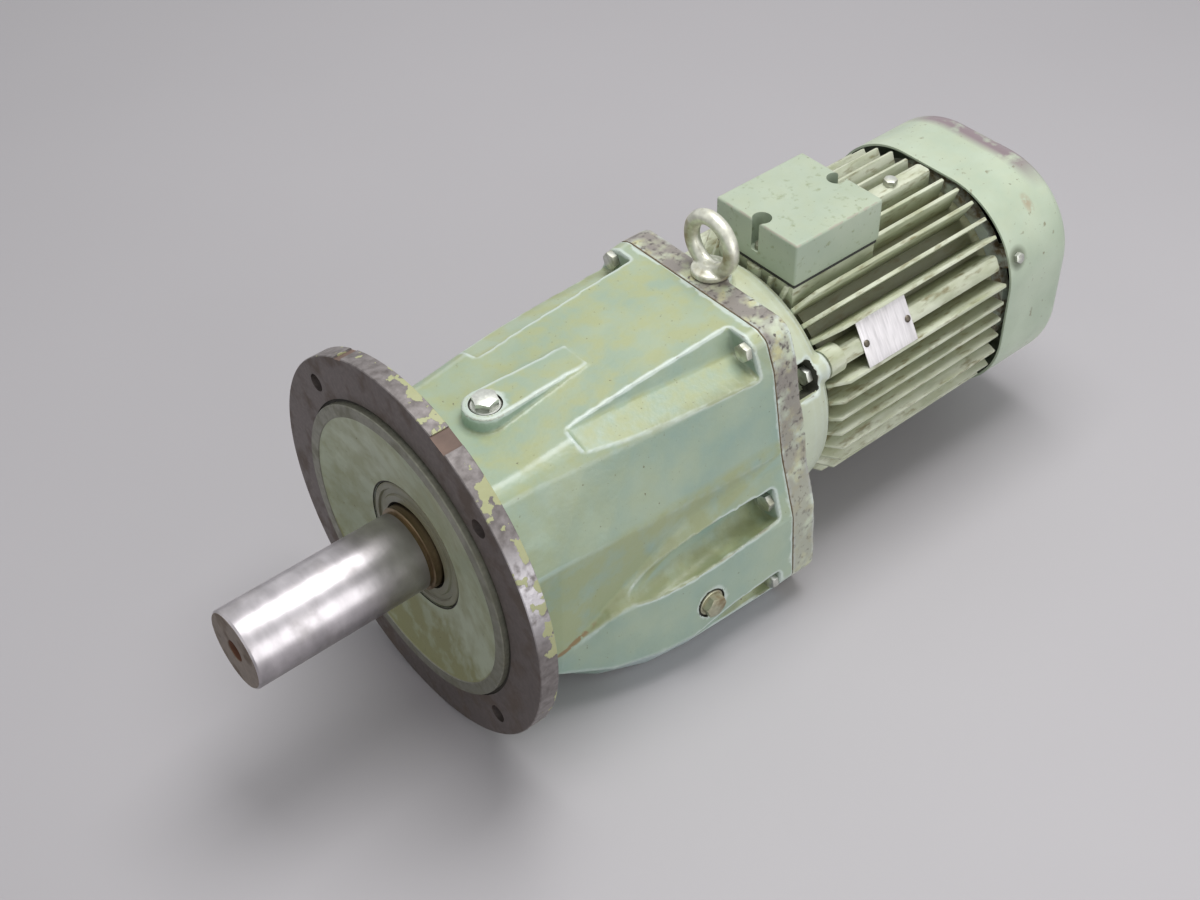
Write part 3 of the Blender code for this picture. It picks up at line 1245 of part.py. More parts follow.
def stator_frame():
    """Finned motor frame with terminal pad, wide ribs and bolt lugs."""
    rise = AXIS_Z - MOTOR_Z
    made = piece("stator_frame", prism(fin_outline(), FRAME_FRONT, FIN_END), MOTOR_GREEN, MOTOR_Z)
    fuse(made, round_bar(FRAME_FRONT + 0.010, FRAME_BACK, FRAME_ROOT_DIAMETER + 0.001, ROUND), "frame_barrel")
    box_end = BOX_STATION + BOX_LENGTH
    pad_half = BOX_WIDTH / 2 - 0.003
    pad = rectangle(along(BOX_STATION + 0.002), along(box_end - 0.002), -pad_half, pad_half)
    fuse(made, upright(pad, FRAME_BORE / 2 - 0.020, BOX_PAD_TOP + rise), "terminal_pad")
    for number, degrees in enumerate(MOTOR_BOLT_ANGLES):
        y, z = polar(MOTOR_BOLT_RADIUS, degrees)
        lug = round_bar(FRAME_FRONT, FRAME_FRONT + LUG_LENGTH, LUG_DIAMETER, SMALL_ROUND, y, z)
        fuse(made, lug, "frame_lug_%d" % number)
    cut(made, round_bar(FRAME_FRONT - 0.002, FRAME_BACK + 0.002, FRAME_BORE, ROUND), "frame_bore")
    facing = rectangle(along(FRAME_FRONT - 0.002), along(box_end + 0.003), -BOX_WIDTH / 2, BOX_WIDTH / 2)
    cut(made, upright(facing, BOX_PAD_TOP + rise, RIB_DIAMETER), "pad_facing")
    shoulder = MOTOR_FACE_DIAMETER / 2 + 0.0005
    slope = FIN_NOSE_LENGTH / FIN_NOSE_RISE
    start = FRAME_FRONT - 0.002
    noses = [(*sector, FIN_NOSE_LENGTH) for sector in FIN_NOSE_SECTORS]
    noses.append((*PAD_SECTOR, BOX_STATION + 0.0015 - FRAME_FRONT))
    for number, (first, last, length) in enumerate(noses):
        end = FRAME_FRONT + length
        low = shoulder - 0.002 / slope
        nose = ((start, low), (start, RIB_DIAMETER), (end, RIB_DIAMETER), (end, shoulder + length / slope))
        cut(made, sector_tool(nose, first, last), "fin_noses_%d" % number)
    holes = []
    deepest = FRAME_FRONT + MOTOR_BOLT_LENGTH - LUG_LENGTH + 2 * SEAT_GAP
    thread = MOTOR_BOLT_DIAMETER + 2 * BOLT_CLEARANCE
    for degrees in MOTOR_BOLT_ANGLES:
        y, z = polar(MOTOR_BOLT_RADIUS, degrees)
        holes.append(round_bar(FRAME_FRONT - 0.001, deepest, thread, DRILLED_ROUND, y, z))
    for x in lid_screw_places():
        spot = regular(LID_SCREW_DIAMETER / 2 + BOLT_CLEARANCE, 8, 0.0, (x, 0.0))
        holes.append(upright(spot, BOX_PAD_TOP + rise - 0.008, BOX_PAD_TOP + rise + 0.002))
    for offset in (-RIVET_SPACING / 2, RIVET_SPACING / 2):
        hole = upright(regular(RIVET_DIAMETER / 2 + BOLT_CLEARANCE, 8), -0.005, 0.002)
        holes.append(placed(hole, nameplate_frame(offset)))
    earth = regular(EARTH_SCREW_DIAMETER / 2 + BOLT_CLEARANCE, 8, 0.0, (along(EARTH_SCREW_STATION), 0.0))
    holes.append(upright(earth, RIB_DIAMETER / 2 - 0.010, RIB_DIAMETER / 2 + 0.002))
    cut(made, gather(holes), "frame_drillings")
    opening = rectangle(along(BOX_STATION + 0.028), along(BOX_STATION + 0.060), -0.026, -0.016)
    cut(made, upright(opening, FRAME_BORE / 2 - 0.020, BOX_PAD_TOP + rise + 0.002), "lead_opening")


def sector_tool(profile, first, last):
    """A turned tool over part of the circle, in degrees."""
    steps = 12
    rings = []
    for k in range(steps + 1):
        angle = math.radians(first + (last - first) * k / steps)
        rings.append([(along(s), r * math.cos(angle), r * math.sin(angle)) for s, r in profile])
    return loft(rings)


def nameplate_frame(offset):
    """Frame on the wide rib at the -Y side, with +Z outwards and X along the machine."""
    tilt = Matrix.Rotation(NAMEPLATE_ANGLE - math.pi / 2, 4, "X")
    place = Matrix.Translation((along(NAMEPLATE_STATION) + offset, 0.0, 0.0))
    return place @ tilt @ Matrix.Translation((0.0, 0.0, RIB_CREST))


def motor_bolts():
    """Three bolts that hold the frame to the adapter, heads in the adapter's pockets."""
    turn = Matrix.Rotation(math.pi / 2, 4, "Y")
    seat = FRAME_FRONT - SEAT_GAP - LUG_LENGTH - SEAT_GAP
    for number, degrees in enumerate(MOTOR_BOLT_ANGLES, 1):
        y, z = polar(MOTOR_BOLT_RADIUS, degrees)
        shape = hex_screw(MOTOR_BOLT_DIAMETER, MOTOR_BOLT_HEAD, MOTOR_BOLT_HEAD_HEIGHT, MOTOR_BOLT_LENGTH)
        placed(shape, Matrix.Translation((along(seat), y, z)) @ turn)
        piece("motor_bolt_%d" % number, shape, ZINC, MOTOR_Z)


def stator_parts():
    """Stator core in the frame, with the winding heads at its ends."""
    end = CORE_STATION + CORE_LENGTH
    low = ROTOR_DIAMETER / 2 + AIR_GAP
    high = FRAME_BORE / 2 - SEAT_GAP
    core = ((CORE_STATION, low), (CORE_STATION, high), (end, high), (end, low))
    piece("stator_core", turned(core), LAMINATION, MOTOR_Z)
    front = CORE_STATION - SEAT_GAP - WINDING_LENGTH
    for name, start in (("winding_front", front), ("winding_rear", end + SEAT_GAP)):
        stop = start + WINDING_LENGTH
        inner, outer, round_off = WINDING_INSIDE / 2, WINDING_OUTSIDE / 2, 0.005
        profile = (
            (start, inner + round_off),
            (start, outer - round_off),
            (start + round_off, outer),
            (stop, outer),
            (stop, inner),
            (start + round_off, inner),
        )
        if name == "winding_rear":
            profile = [(start + stop - s, r) for s, r in profile]
        piece(name, turned(profile, INNER_ROUND), COPPER, MOTOR_Z)


def cover_outline(inset):
    """Rounded square section of the fan cover."""
    half = COVER_HALF_WIDTH - inset
    radius = max(COVER_CORNER_RADIUS - inset, 0.002)
    centre = half - radius
    outline = []
    for quarter in range(4):
        turn = quarter * math.pi / 2
        cy = centre * math.sqrt(2) * math.cos(turn + math.pi / 4)
        cz = centre * math.sqrt(2) * math.sin(turn + math.pi / 4)
        for k in range(COVER_CORNER_FACETS + 1):
            angle = turn + math.pi / 2 * k / COVER_CORNER_FACETS
            outline.append((cy + radius * math.cos(angle), cz + radius * math.sin(angle)))
    return outline


def cover_shell(inset, start, back):
    """Solid inside a given inset of the cover, with a rounded back edge."""
    radius = COVER_EDGE_RADIUS - inset
    rings = [[(along(start), y, z) for y, z in cover_outline(inset)]]
    for k in range(4):
        angle = math.pi / 2 * k / 3
        station = back - radius + radius * math.sin(angle)
        extra = radius * (1 - math.cos(angle))
        rings.append([(along(station), y, z) for y, z in cover_outline(inset + extra)])
    return loft(rings)


def fan_cover():
    """Pressed fan cover with an intake grille in its back."""
    made = piece("fan_cover", cover_shell(0.0, COVER_STATION, COVER_BACK), SHEET_GREEN, MOTOR_Z)
    cut(made, cover_shell(COVER_WALL, COVER_STATION - 0.004, COVER_BACK - COVER_WALL), "cover_inside")
    slots = []
    for inner, outer, count in GRILLE_RINGS:
        for k in range(count):
            half = GRILLE_SLOT_WIDTH / 2
            slot = box_shape(along(COVER_BACK - 0.010), along(COVER_BACK + 0.002), inner, outer, -half, half)
            slots.append(placed(slot, Matrix.Rotation(2 * math.pi * (k + 0.5) / count, 4, "X")))
    cut(made, gather(slots), "cover_grille")
    holes = []
    for frame in cover_screw_frames():
        hole = upright(regular(COVER_SCREW_DIAMETER / 2 + BOLT_CLEARANCE, DRILLED_ROUND), -0.005, 0.005)
        holes.append(placed(hole, frame))
    cut(made, gather(holes), "cover_holes")


def cover_screw_frames():
    """Frames on the outer surface of the fan cover at its three screws, +Z outwards."""
    centre = COVER_HALF_WIDTH - COVER_CORNER_RADIUS
    facet = math.pi / 2 / COVER_CORNER_FACETS
    reach = COVER_CORNER_RADIUS * math.cos(facet / 2)
    station = along(COVER_STATION + COVER_SCREW_STATION)
    frames = []
    for side, up, angle, distance in (
        (1, 1, 1.5 * facet, reach),
        (-1, 1, math.pi - 1.5 * facet, reach),
        (0, -1, -math.pi / 2, COVER_CORNER_RADIUS),
    ):
        y = side * centre + distance * math.cos(angle)
        z = up * centre + distance * math.sin(angle)
        frames.append(Matrix.Translation((station, y, z)) @ Matrix.Rotation(angle - math.pi / 2, 4, "X"))
    return frames


def fan_cover_screws():
    """Three screws that hold the cover to the lugs of the rear end shield."""
    inward = Matrix.Translation((0.0, 0.0, SEAT_GAP)) @ Matrix.Rotation(math.pi, 4, "X")
    for number, frame in enumerate(cover_screw_frames(), 1):
        shape = placed(hex_screw(COVER_SCREW_DIAMETER, 0.008, 0.0035, 0.010), frame @ inward)
        piece("fan_cover_screw_%d" % number, shape, ZINC, MOTOR_Z)


def rear_end_shield():
    """Rear end shield with bearing seat and three lugs for the fan cover."""
    face = FRAME_BACK + SEAT_GAP
    spigot = FRAME_BORE / 2 - SEAT_GAP
    back = face + SHIELD_THICKNESS
    hub = ROTOR_REAR_BEARING[1] / 2
    seat_end = ROTOR_REAR_STATION + ROTOR_REAR_BEARING[2] + SEAT_GAP
    lip = hub + 0.006
    profile = (
        (ROTOR_REAR_STATION - 0.002, hub + SEAT_GAP),
        (ROTOR_REAR_STATION - 0.002, lip),
        (face, lip),
        (face, spigot - 0.008),
        (face - SPIGOT_LENGTH, spigot - 0.008),
        (face - SPIGOT_LENGTH, spigot),
        (face, spigot),
        (face, SHIELD_DIAMETER / 2),
        (face + 0.008, SHIELD_DIAMETER / 2),
        (back, lip + 0.020),
        (back, ROTOR_REAR_BEARING[0] / 2 + 0.001),
        (seat_end, ROTOR_REAR_BEARING[0] / 2 + 0.001),
        (seat_end, hub + SEAT_GAP),
    )
    made = piece("rear_end_shield", turned(profile), CAST_GREEN, MOTOR_Z)
    holes = []
    lug_front = face - COVER_STATION - COVER_SCREW_STATION
    for number, frame in enumerate(cover_screw_frames()):
        lug = upright(rectangle(lug_front, 0.006, -0.008, 0.008), -0.030, -COVER_WALL - SEAT_GAP)
        fuse(made, placed(lug, frame), "shield_lug_%d" % number)
        hole = upright(regular(COVER_SCREW_DIAMETER / 2 + BOLT_CLEARANCE, DRILLED_ROUND), -0.011, 0.0)
        holes.append(placed(hole, frame))
    cut(made, gather(holes), "shield_holes")


def lid_screw_places():
    """World x of the two lid screws."""
    near = along(BOX_STATION) + BOX_NOTCH_INSET
    far = along(BOX_STATION + BOX_LENGTH) - BOX_NOTCH_INSET
    return (near, far)


def terminal_box():
    """Terminal box lid with screw notches, its gasket, the terminal board, screws and blanking plug."""
    x0 = along(BOX_STATION)
    x1 = x0 + BOX_LENGTH
    half = BOX_WIDTH / 2
    gasket_low = BOX_PAD_TOP + SEAT_GAP
    gasket_top = gasket_low + BOX_GASKET_THICKNESS
    low = gasket_top + SEAT_GAP
    top = low + BOX_HEIGHT
    outline = rounded(rectangle(x0, x1, -half, half), 0.003)
    lid = piece("terminal_box_lid", upright(outline, low, top), SHEET_GREEN, AXIS_Z)
    wall = BOX_WALL
    inside = rectangle(x0 + wall, x1 - wall, -half + wall, half - wall)
    cut(lid, upright(inside, low - 0.002, top - wall), "box_inside")
    for number, x in enumerate(lid_screw_places()):
        boss = regular(BOX_NOTCH_DIAMETER / 2 + wall, SMALL_ROUND, 0.0, (x, 0.0))
        fuse(lid, upright(boss, low, top - wall / 2), "box_boss_%d" % number)
    trim = rectangle(x0 + 0.0005, x1 - 0.0005, -half, half)
    combine(lid, upright(trim, low - 0.004, top + 0.004), "INTERSECT", "box_trim")
    ledge = low + BOX_LEDGE
    wells = [regular(BOX_NOTCH_DIAMETER / 2, SMALL_ROUND, 0.0, (x, 0.0)) for x in lid_screw_places()]
    cut(lid, gather([upright(well, ledge, top + 0.002) for well in wells]), "box_wells")
    drilled = [regular(LID_SCREW_DIAMETER / 2 + BOLT_CLEARANCE, 8, 0.0, (x, 0.0)) for x in lid_screw_places()]
    cut(lid, gather([upright(hole, low - 0.002, ledge + 0.001) for hole in drilled]), "box_screw_holes")
    middle_x = (x0 + x1) / 2
    middle_z = (low + top) / 2
    entry = upright(regular(CABLE_PLUG_DIAMETER / 2 + BOLT_CLEARANCE, SMALL_ROUND), -0.002, wall + 0.003)
    cut(lid, placed(entry, pointing((0, -1, 0), (middle_x, half, middle_z))), "box_cable_entry")
    plug = join_coaxial(
        upright(regular(CABLE_PLUG_HEAD / 2, SMALL_ROUND), -0.004, 0.0),
        upright(regular(CABLE_PLUG_DIAMETER / 2, SMALL_ROUND), 0.0, 0.009),
        0.0,
    )
    placed(plug, pointing((0, -1, 0), (middle_x, half + SEAT_GAP, middle_z)))
    piece("cable_entry_plug", plug, BLACK_PLASTIC, AXIS_Z)
    gasket = piece(
        "terminal_box_gasket",
        upright(rectangle(x0 + 0.0015, x1 - 0.0015, -half + 0.0015, half - 0.0015), gasket_low, gasket_top),
        RUBBER,
        AXIS_Z,
    )
    window = rectangle(x0 + 0.014, x1 - 0.014, -half + 0.007, half - 0.007)
    cut(gasket, upright(window, gasket_low - 0.001, gasket_top + 0.001), "box_gasket_window")
    holes = [upright(hole, gasket_low - 0.001, gasket_top + 0.001) for hole in drilled]
    cut(gasket, gather(holes), "box_gasket_holes")
    for number, x in enumerate(lid_screw_places(), 1):
        length = low + BOX_LEDGE - BOX_PAD_TOP + 0.006
        screw = join_coaxial(
            upright(regular(LID_SCREW_HEAD / 2, 12), -0.004, 0.0),
            upright(regular(LID_SCREW_DIAMETER / 2, 12), 0.0, length),
            0.0,
        )
        placed(screw, pointing((0, 0, -1), (x, 0.0, low + BOX_LEDGE + SEAT_GAP)))
        piece("lid_screw_%d" % number, screw, ZINC, AXIS_Z)
    terminal_board(middle_x)


def terminal_board(middle_x):
    """Insulating board on the pad with six terminal studs."""
    low = BOX_PAD_TOP + SEAT_GAP
    top = low + 0.009
    block = rectangle(middle_x - 0.022, middle_x + 0.022, -0.013, 0.017)
    board = piece("terminal_board", upright(block, low, top), BLACK_PLASTIC, AXIS_Z)
    studs = []
    for dx in (-0.015, 0.0, 0.015):
        for dy in (-0.006, 0.010):
            studs.append(upright(regular(0.0022, 8, 0.0, (middle_x + dx, dy)), top - 0.002, top + 0.009))
    fuse(board, gather(studs), "board_studs")


def nameplate():
    """Bare nameplate on the wide rib, held by two rivets."""
    half_x, half_y = NAMEPLATE_LENGTH / 2, NAMEPLATE_WIDTH / 2
    shape = upright(rectangle(-half_x, half_x, -half_y, half_y), SEAT_GAP, SEAT_GAP + NAMEPLATE_THICKNESS)
    plate = piece("nameplate", placed(shape, nameplate_frame(0.0)), ALUMINIUM, MOTOR_Z)
    holes = []
    for number, offset in enumerate((-RIVET_SPACING / 2, RIVET_SPACING / 2), 1):
        hole = upright(regular(RIVET_DIAMETER / 2 + BOLT_CLEARANCE, 8), -0.001, 0.003)
        holes.append(placed(hole, nameplate_frame(offset)))
        rivet = join_coaxial(
            upright(regular(RIVET_DIAMETER, 12), -0.0014, 0.0),
            upright(regular(RIVET_DIAMETER / 2, 12), 0.0, 0.005),
            0.0,
        )
        seat = 2 * SEAT_GAP + NAMEPLATE_THICKNESS
        flip = Matrix.Translation((0.0, 0.0, seat)) @ Matrix.Rotation(math.pi, 4, "X")
        placed(rivet, nameplate_frame(offset) @ flip)
        piece("nameplate_rivet_%d" % number, rivet, ZINC, MOTOR_Z)
    cut(plate, gather(holes), "nameplate_holes")


def earth_screw():
    """Hex screw on the top rib behind the terminal box."""
    screw = hex_screw(EARTH_SCREW_DIAMETER, 0.010, 0.005, 0.009)
    origin = (along(EARTH_SCREW_STATION), 0.0, RIB_CREST + SEAT_GAP)
    piece("earth_screw", placed(screw, pointing((0, 0, -1), origin)), ZINC, MOTOR_Z)


def build():
    clear_scene()
    gear_housing()
    housing_gasket()
    housing_fasteners()
    housing_plugs()
    seal(
        "output_oil_seal", DISH_FACE, OUTPUT_SEAL_DIAMETER, OUTPUT_SEAL_WIDTH, SEAL_SEAT_DIAMETER,
        AXIS_Z, PAINTED_SEAL, ROUND,
    )
    motor_adapter()
    seal(
        "motor_oil_seal", ADAPTER_FACE + 0.001, MOTOR_SEAL_DIAMETER, MOTOR_SEAL_WIDTH, ROTOR_FRONT_BEARING[0],
        MOTOR_Z, RUBBER, INNER_ROUND,
    )
    output_group()
    lay_group()
    rotor_group()
    lifting_eyebolt()
    stator_frame()
    motor_bolts()
    stator_parts()
    rear_end_shield()
    fan_cover()
    fan_cover_screws()
    terminal_box()
    nameplate()
    earth_screw()


build()
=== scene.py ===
import math

import bpy
from mathutils import Matrix, Vector


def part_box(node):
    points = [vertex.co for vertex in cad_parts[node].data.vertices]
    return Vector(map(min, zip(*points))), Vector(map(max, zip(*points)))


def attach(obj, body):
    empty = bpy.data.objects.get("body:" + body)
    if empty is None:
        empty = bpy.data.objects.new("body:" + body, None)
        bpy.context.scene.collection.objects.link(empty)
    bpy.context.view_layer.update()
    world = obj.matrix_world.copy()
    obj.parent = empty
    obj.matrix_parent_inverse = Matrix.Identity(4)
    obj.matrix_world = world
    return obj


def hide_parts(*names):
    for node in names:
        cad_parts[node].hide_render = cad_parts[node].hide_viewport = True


# A flange mounted helical gear motor: green painted castings, a finned motor and a bare output shaft.
# X runs from the shaft end to the fan, Z is up, and every size is in metres.
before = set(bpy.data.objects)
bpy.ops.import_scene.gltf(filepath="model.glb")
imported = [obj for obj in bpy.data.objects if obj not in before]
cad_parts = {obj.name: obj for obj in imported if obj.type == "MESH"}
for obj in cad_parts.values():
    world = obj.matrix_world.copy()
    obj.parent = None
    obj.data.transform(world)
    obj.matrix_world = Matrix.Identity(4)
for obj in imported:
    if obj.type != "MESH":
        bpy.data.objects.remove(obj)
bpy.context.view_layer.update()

# World x of the flange face, and heights of the output and motor axes
FLANGE_X = -0.230
AXIS = 0.150
MOTOR = 0.138
# Stations of the terminal box, its half width and its top
BOX_FRONT = 0.329
BOX_BACK = 0.420
BOX_HALF = 0.043
BOX_TOP = AXIS + 0.1235
# Room round a seated part, and radius of the holes for the hex bolts
CLEARANCE = 0.0003
BOLT_HOLE = 0.0043
# The filler plug and the lifting eye stand over these stations
FILLER = 0.076
EYEBOLT = 0.2845


def at(station):
    """World x of a distance behind the flange face."""
    return FLANGE_X + station


# Making and finishing meshes

def deselect():
    bpy.ops.object.select_all(action="DESELECT")


def take(piece):
    deselect()
    piece.select_set(True)
    bpy.context.view_layer.objects.active = piece


def named(name):
    """Settles the primitive that was just added into its mesh, and names it."""
    bpy.ops.object.transform_apply(location=True, rotation=True, scale=True)
    made = bpy.context.object
    made.name = name
    made.data.name = name
    return made


def modify(piece, kind, **settings):
    """Adds a modifier and applies it."""
    take(piece)
    fit = piece.modifiers.new(kind.lower(), kind)
    for name, value in settings.items():
        setattr(fit, name, value)
    bpy.ops.object.modifier_apply(modifier=fit.name)
    return piece


def combine(piece, tool, how="DIFFERENCE", solver="MANIFOLD"):
    """Cuts a tool out of a piece, or joins it on, and removes the tool."""
    modify(piece, "BOOLEAN", operation=how, object=tool, solver=solver)
    bpy.data.objects.remove(tool)
    return piece


def together(pieces):
    """Makes one object of several that don't touch."""
    take(pieces[0])
    for piece in pieces:
        piece.select_set(True)
    bpy.ops.object.join()
    return pieces[0]


def edited(piece, operator, **settings):
    """Runs an edit mode operator on a whole mesh."""
    take(piece)
    bpy.ops.object.mode_set(mode="EDIT")
    bpy.ops.mesh.select_all(action="SELECT")
    operator(**settings)
    bpy.ops.object.mode_set(mode="OBJECT")
    return piece


def close_up(piece):
    """Merges doubles, fills open ends and turns every face outwards."""
    edited(piece, bpy.ops.mesh.remove_doubles, threshold=1e-6)
    edited(piece, bpy.ops.mesh.dissolve_degenerate, threshold=1e-6)
    edited(piece, bpy.ops.mesh.fill_holes, sides=0)
    return edited(piece, bpy.ops.mesh.normals_make_consistent, inside=False)


def turned(name, profile, height=AXIS, steps=96):
    """Spins a closed outline of (x, radius) points round the line along X at that height."""
    deselect()
    bpy.ops.mesh.primitive_circle_add(vertices=len(profile), fill_type="NOTHING")
    made = named(name)
    for point, (x, radius) in zip(made.data.vertices, profile):
        point.co = (x, 0.0, height + radius)
    whole = {"steps": steps, "angle": 2 * math.pi, "center": (0.0, 0.0, height), "axis": (1.0, 0.0, 0.0)}
    return close_up(edited(made, bpy.ops.mesh.spin, **whole))


def lofted(name, rings):
    """Skins rings of (x, y, z) points that have the same number of points, and closes the ends."""
    deselect()
    around = len(rings[0])
    bpy.ops.mesh.primitive_grid_add(x_subdivisions=around, y_subdivisions=len(rings) - 1)
    made = named(name)
    points = [point for ring in rings for point in list(ring) + [ring[0]]]
    for vertex, point in zip(made.data.vertices, points):
        vertex.co = point
    return close_up(made)


def rod(name, low, high, radius, y=0.0, z=AXIS, sides=32):
    """Round bar along X."""
    deselect()
    middle = ((low + high) / 2, y, z)
    bpy.ops.mesh.primitive_cylinder_add(
        vertices=sides, radius=radius, depth=high - low, location=middle, rotation=(0.0, math.pi / 2, 0.0)
    )
    return named(name)


def arc(x, y, radius, start, steps, sweep=math.pi):
    """Points of an arc round (x, y), from a start angle."""
    angles = [start + sweep * k / steps for k in range(steps + 1)]
    return [(x + radius * math.cos(t), y + radius * math.sin(t)) for t in angles]


def post(name, x, y, low, high, radius, sides=32):
    """Round bar that stands upright."""
    deselect()
    middle = (x, y, (low + high) / 2)
    bpy.ops.mesh.primitive_cylinder_add(vertices=sides, radius=radius, depth=high - low, location=middle)
    return named(name)


def block(name, low, high):
    """Straight block between two corners."""
    deselect()
    middle = [(a + b) / 2 for a, b in zip(low, high)]
    bpy.ops.mesh.primitive_cube_add(size=1.0, location=middle, scale=[b - a for a, b in zip(low, high)])
    return named(name)


def copied(piece, name, place):
    """A copy with its own mesh, moved by a matrix."""
    made = piece.copy()
    made.data = piece.data.copy()
    made.name = name
    made.data.name = name
    made.data.transform(place)
    bpy.context.collection.objects.link(made)
    return made


def soften(piece, grain, passes, kept=1.0):
    """Gives a piece the small radii of a sand casting; kept is the share of the fine faces that stays."""
    modify(piece, "REMESH", mode="VOXEL", voxel_size=grain)
    modify(piece, "SMOOTH", factor=0.5, iterations=passes)
    return modify(piece, "DECIMATE", ratio=kept) if kept < 1.0 else piece


def faced(piece, x, side):
    """Machines a flat joint face square at x and closes it; side 1 removes what is beyond."""
    cut = {"plane_co": (x, 0.0, 0.0), "plane_no": (1.0, 0.0, 0.0), "use_fill": True}
    return edited(piece, bpy.ops.mesh.bisect, clear_outer=side > 0, clear_inner=side < 0, **cut)


def round_edges(piece, width, segments=2, over=30):
    """Rounds the edges that turn by more than an angle in degrees."""
    limit = math.radians(over)
    return modify(piece, "BEVEL", width=width, segments=segments, limit_method="ANGLE", angle_limit=limit)


def finish(piece, node, materials, choose=None, body="machine"):
    """Dresses a piece and puts it in place of a CAD node; choose picks a face's material from the list."""
    piece.data.materials.clear()
    for material in materials:
        piece.data.materials.append(material)
    for face in piece.data.polygons:
        face.material_index = choose(face.center, face.normal) if choose else 0
    take(piece)
    bpy.ops.object.shade_smooth_by_angle(angle=math.radians(35))
    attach(piece, body)
    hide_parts(node)


def facing(direction, origin):
    """Matrix that turns +X towards a direction and moves to a point."""
    turn = Vector((1.0, 0.0, 0.0)).rotation_difference(Vector(direction))
    return Matrix.Translation(origin) @ turn.to_matrix().to_4x4()


def round_axis(angle, height):
    """Matrix that lifts to a height and turns round the line along X there."""
    return Matrix.Translation((0, 0, height)) @ Matrix.Rotation(angle, 4, "X")


def middle_of(node):
    """World x of the middle of a CAD node."""
    low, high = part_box(node)
    return (low[0] + high[0]) / 2


def seat_of(node, axis=1):
    """Front and back of the seat of a round CAD node, and its radius, with room round it."""
    low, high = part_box(node)
    return low[0] - CLEARANCE, high[0] + CLEARANCE, (high[axis] - low[axis]) / 2 + CLEARANCE


# Colours and materials

def colour(code):
    """An sRGB hex colour as Blender's linear colour."""
    levels = [int(code[i:i + 2], 16) / 255 for i in (1, 3, 5)]
    return [v / 12.92 if v <= 0.04045 else ((v + 0.055) / 1.055) ** 2.4 for v in levels] + [1.0]


def add(tree, kind, inputs=(), out=0, **settings):
    """Adds a node with its settings; its inputs, in order or by name, are values or other nodes' outputs."""
    made = tree.nodes.new(kind)
    for name, value in settings.items():
        setattr(made, name, value)
    for name, value in inputs.items() if isinstance(inputs, dict) else enumerate(inputs):
        if isinstance(value, bpy.types.NodeSocket):
            tree.links.new(value, made.inputs[name])
        else:
            made.inputs[name].default_value = value
    return made.outputs[out] if made.outputs else None


def new_material(name):
    """An empty material and its tree, with the place on the object in metres."""
    made = bpy.data.materials.new(name)
    made.use_nodes = True
    tree = made.node_tree
    tree.nodes.clear()
    return made, tree, add(tree, "ShaderNodeTexCoord", out="Object")


def surface(made, bump=None, **inputs):
    """Principled shader on the material's output; a bump has its height, strength and depth."""
    tree = made.node_tree
    sockets = {name.replace("_", " "): value for name, value in inputs.items()}
    if bump:
        relief = dict(zip(("Height", "Strength", "Distance"), bump))
        sockets["Normal"] = add(tree, "ShaderNodeBump", relief)
    shader = add(tree, "ShaderNodeBsdfPrincipled", sockets)
    add(tree, "ShaderNodeOutputMaterial", {"Surface": shader})
    return made


def patches(tree, place, size, low, high, stretch=(1.0, 1.0, 1.0), detail=4.0):
    """Share from 0 to 1 of ragged patches about size metres across; higher limits leave fewer of them."""
    spread = add(tree, "ShaderNodeMapping", {"Vector": place, "Scale": [s / size for s in stretch]})
    cloud = add(tree, "ShaderNodeTexNoise", {"Vector": spread, "Scale": 1.0, "Detail": detail})
    return add(tree, "ShaderNodeMapRange", (cloud, low, high))


def along(tree, source, axis, low, high, top=1.0, bottom=0.0):
    """Share that goes from bottom to top between two values of one coordinate of a place or normal."""
    value = add(tree, "ShaderNodeSeparateXYZ", (source,), axis)
    return add(tree, "ShaderNodeMapRange", (value, low, high, bottom, top))


def near(tree, place, centre, start, end, top=1.0, weights=(1.0, 1.0, 1.0)):
    """Share that goes from 0 to top between two distances from a point, with a weight for each axis."""
    offset = add(tree, "ShaderNodeVectorMath", (place, centre), operation="SUBTRACT")
    offset = add(tree, "ShaderNodeVectorMath", (offset, weights), operation="MULTIPLY")
    apart = add(tree, "ShaderNodeVectorMath", (offset,), "Value", operation="LENGTH")
    return add(tree, "ShaderNodeMapRange", (apart, start, end, 0.0, top))


def layered(tree, base, layers):
    """Lays colours over a linear base; a layer is a colour and the shares whose product it covers."""
    for tint, share, *others in layers:
        for other in others:
            share = add(tree, "ShaderNodeMath", (share, other), operation="MULTIPLY")
        base = add(tree, "ShaderNodeMix", {0: share, 6: base, 7: colour(tint)}, 2, data_type="RGBA")
    return base


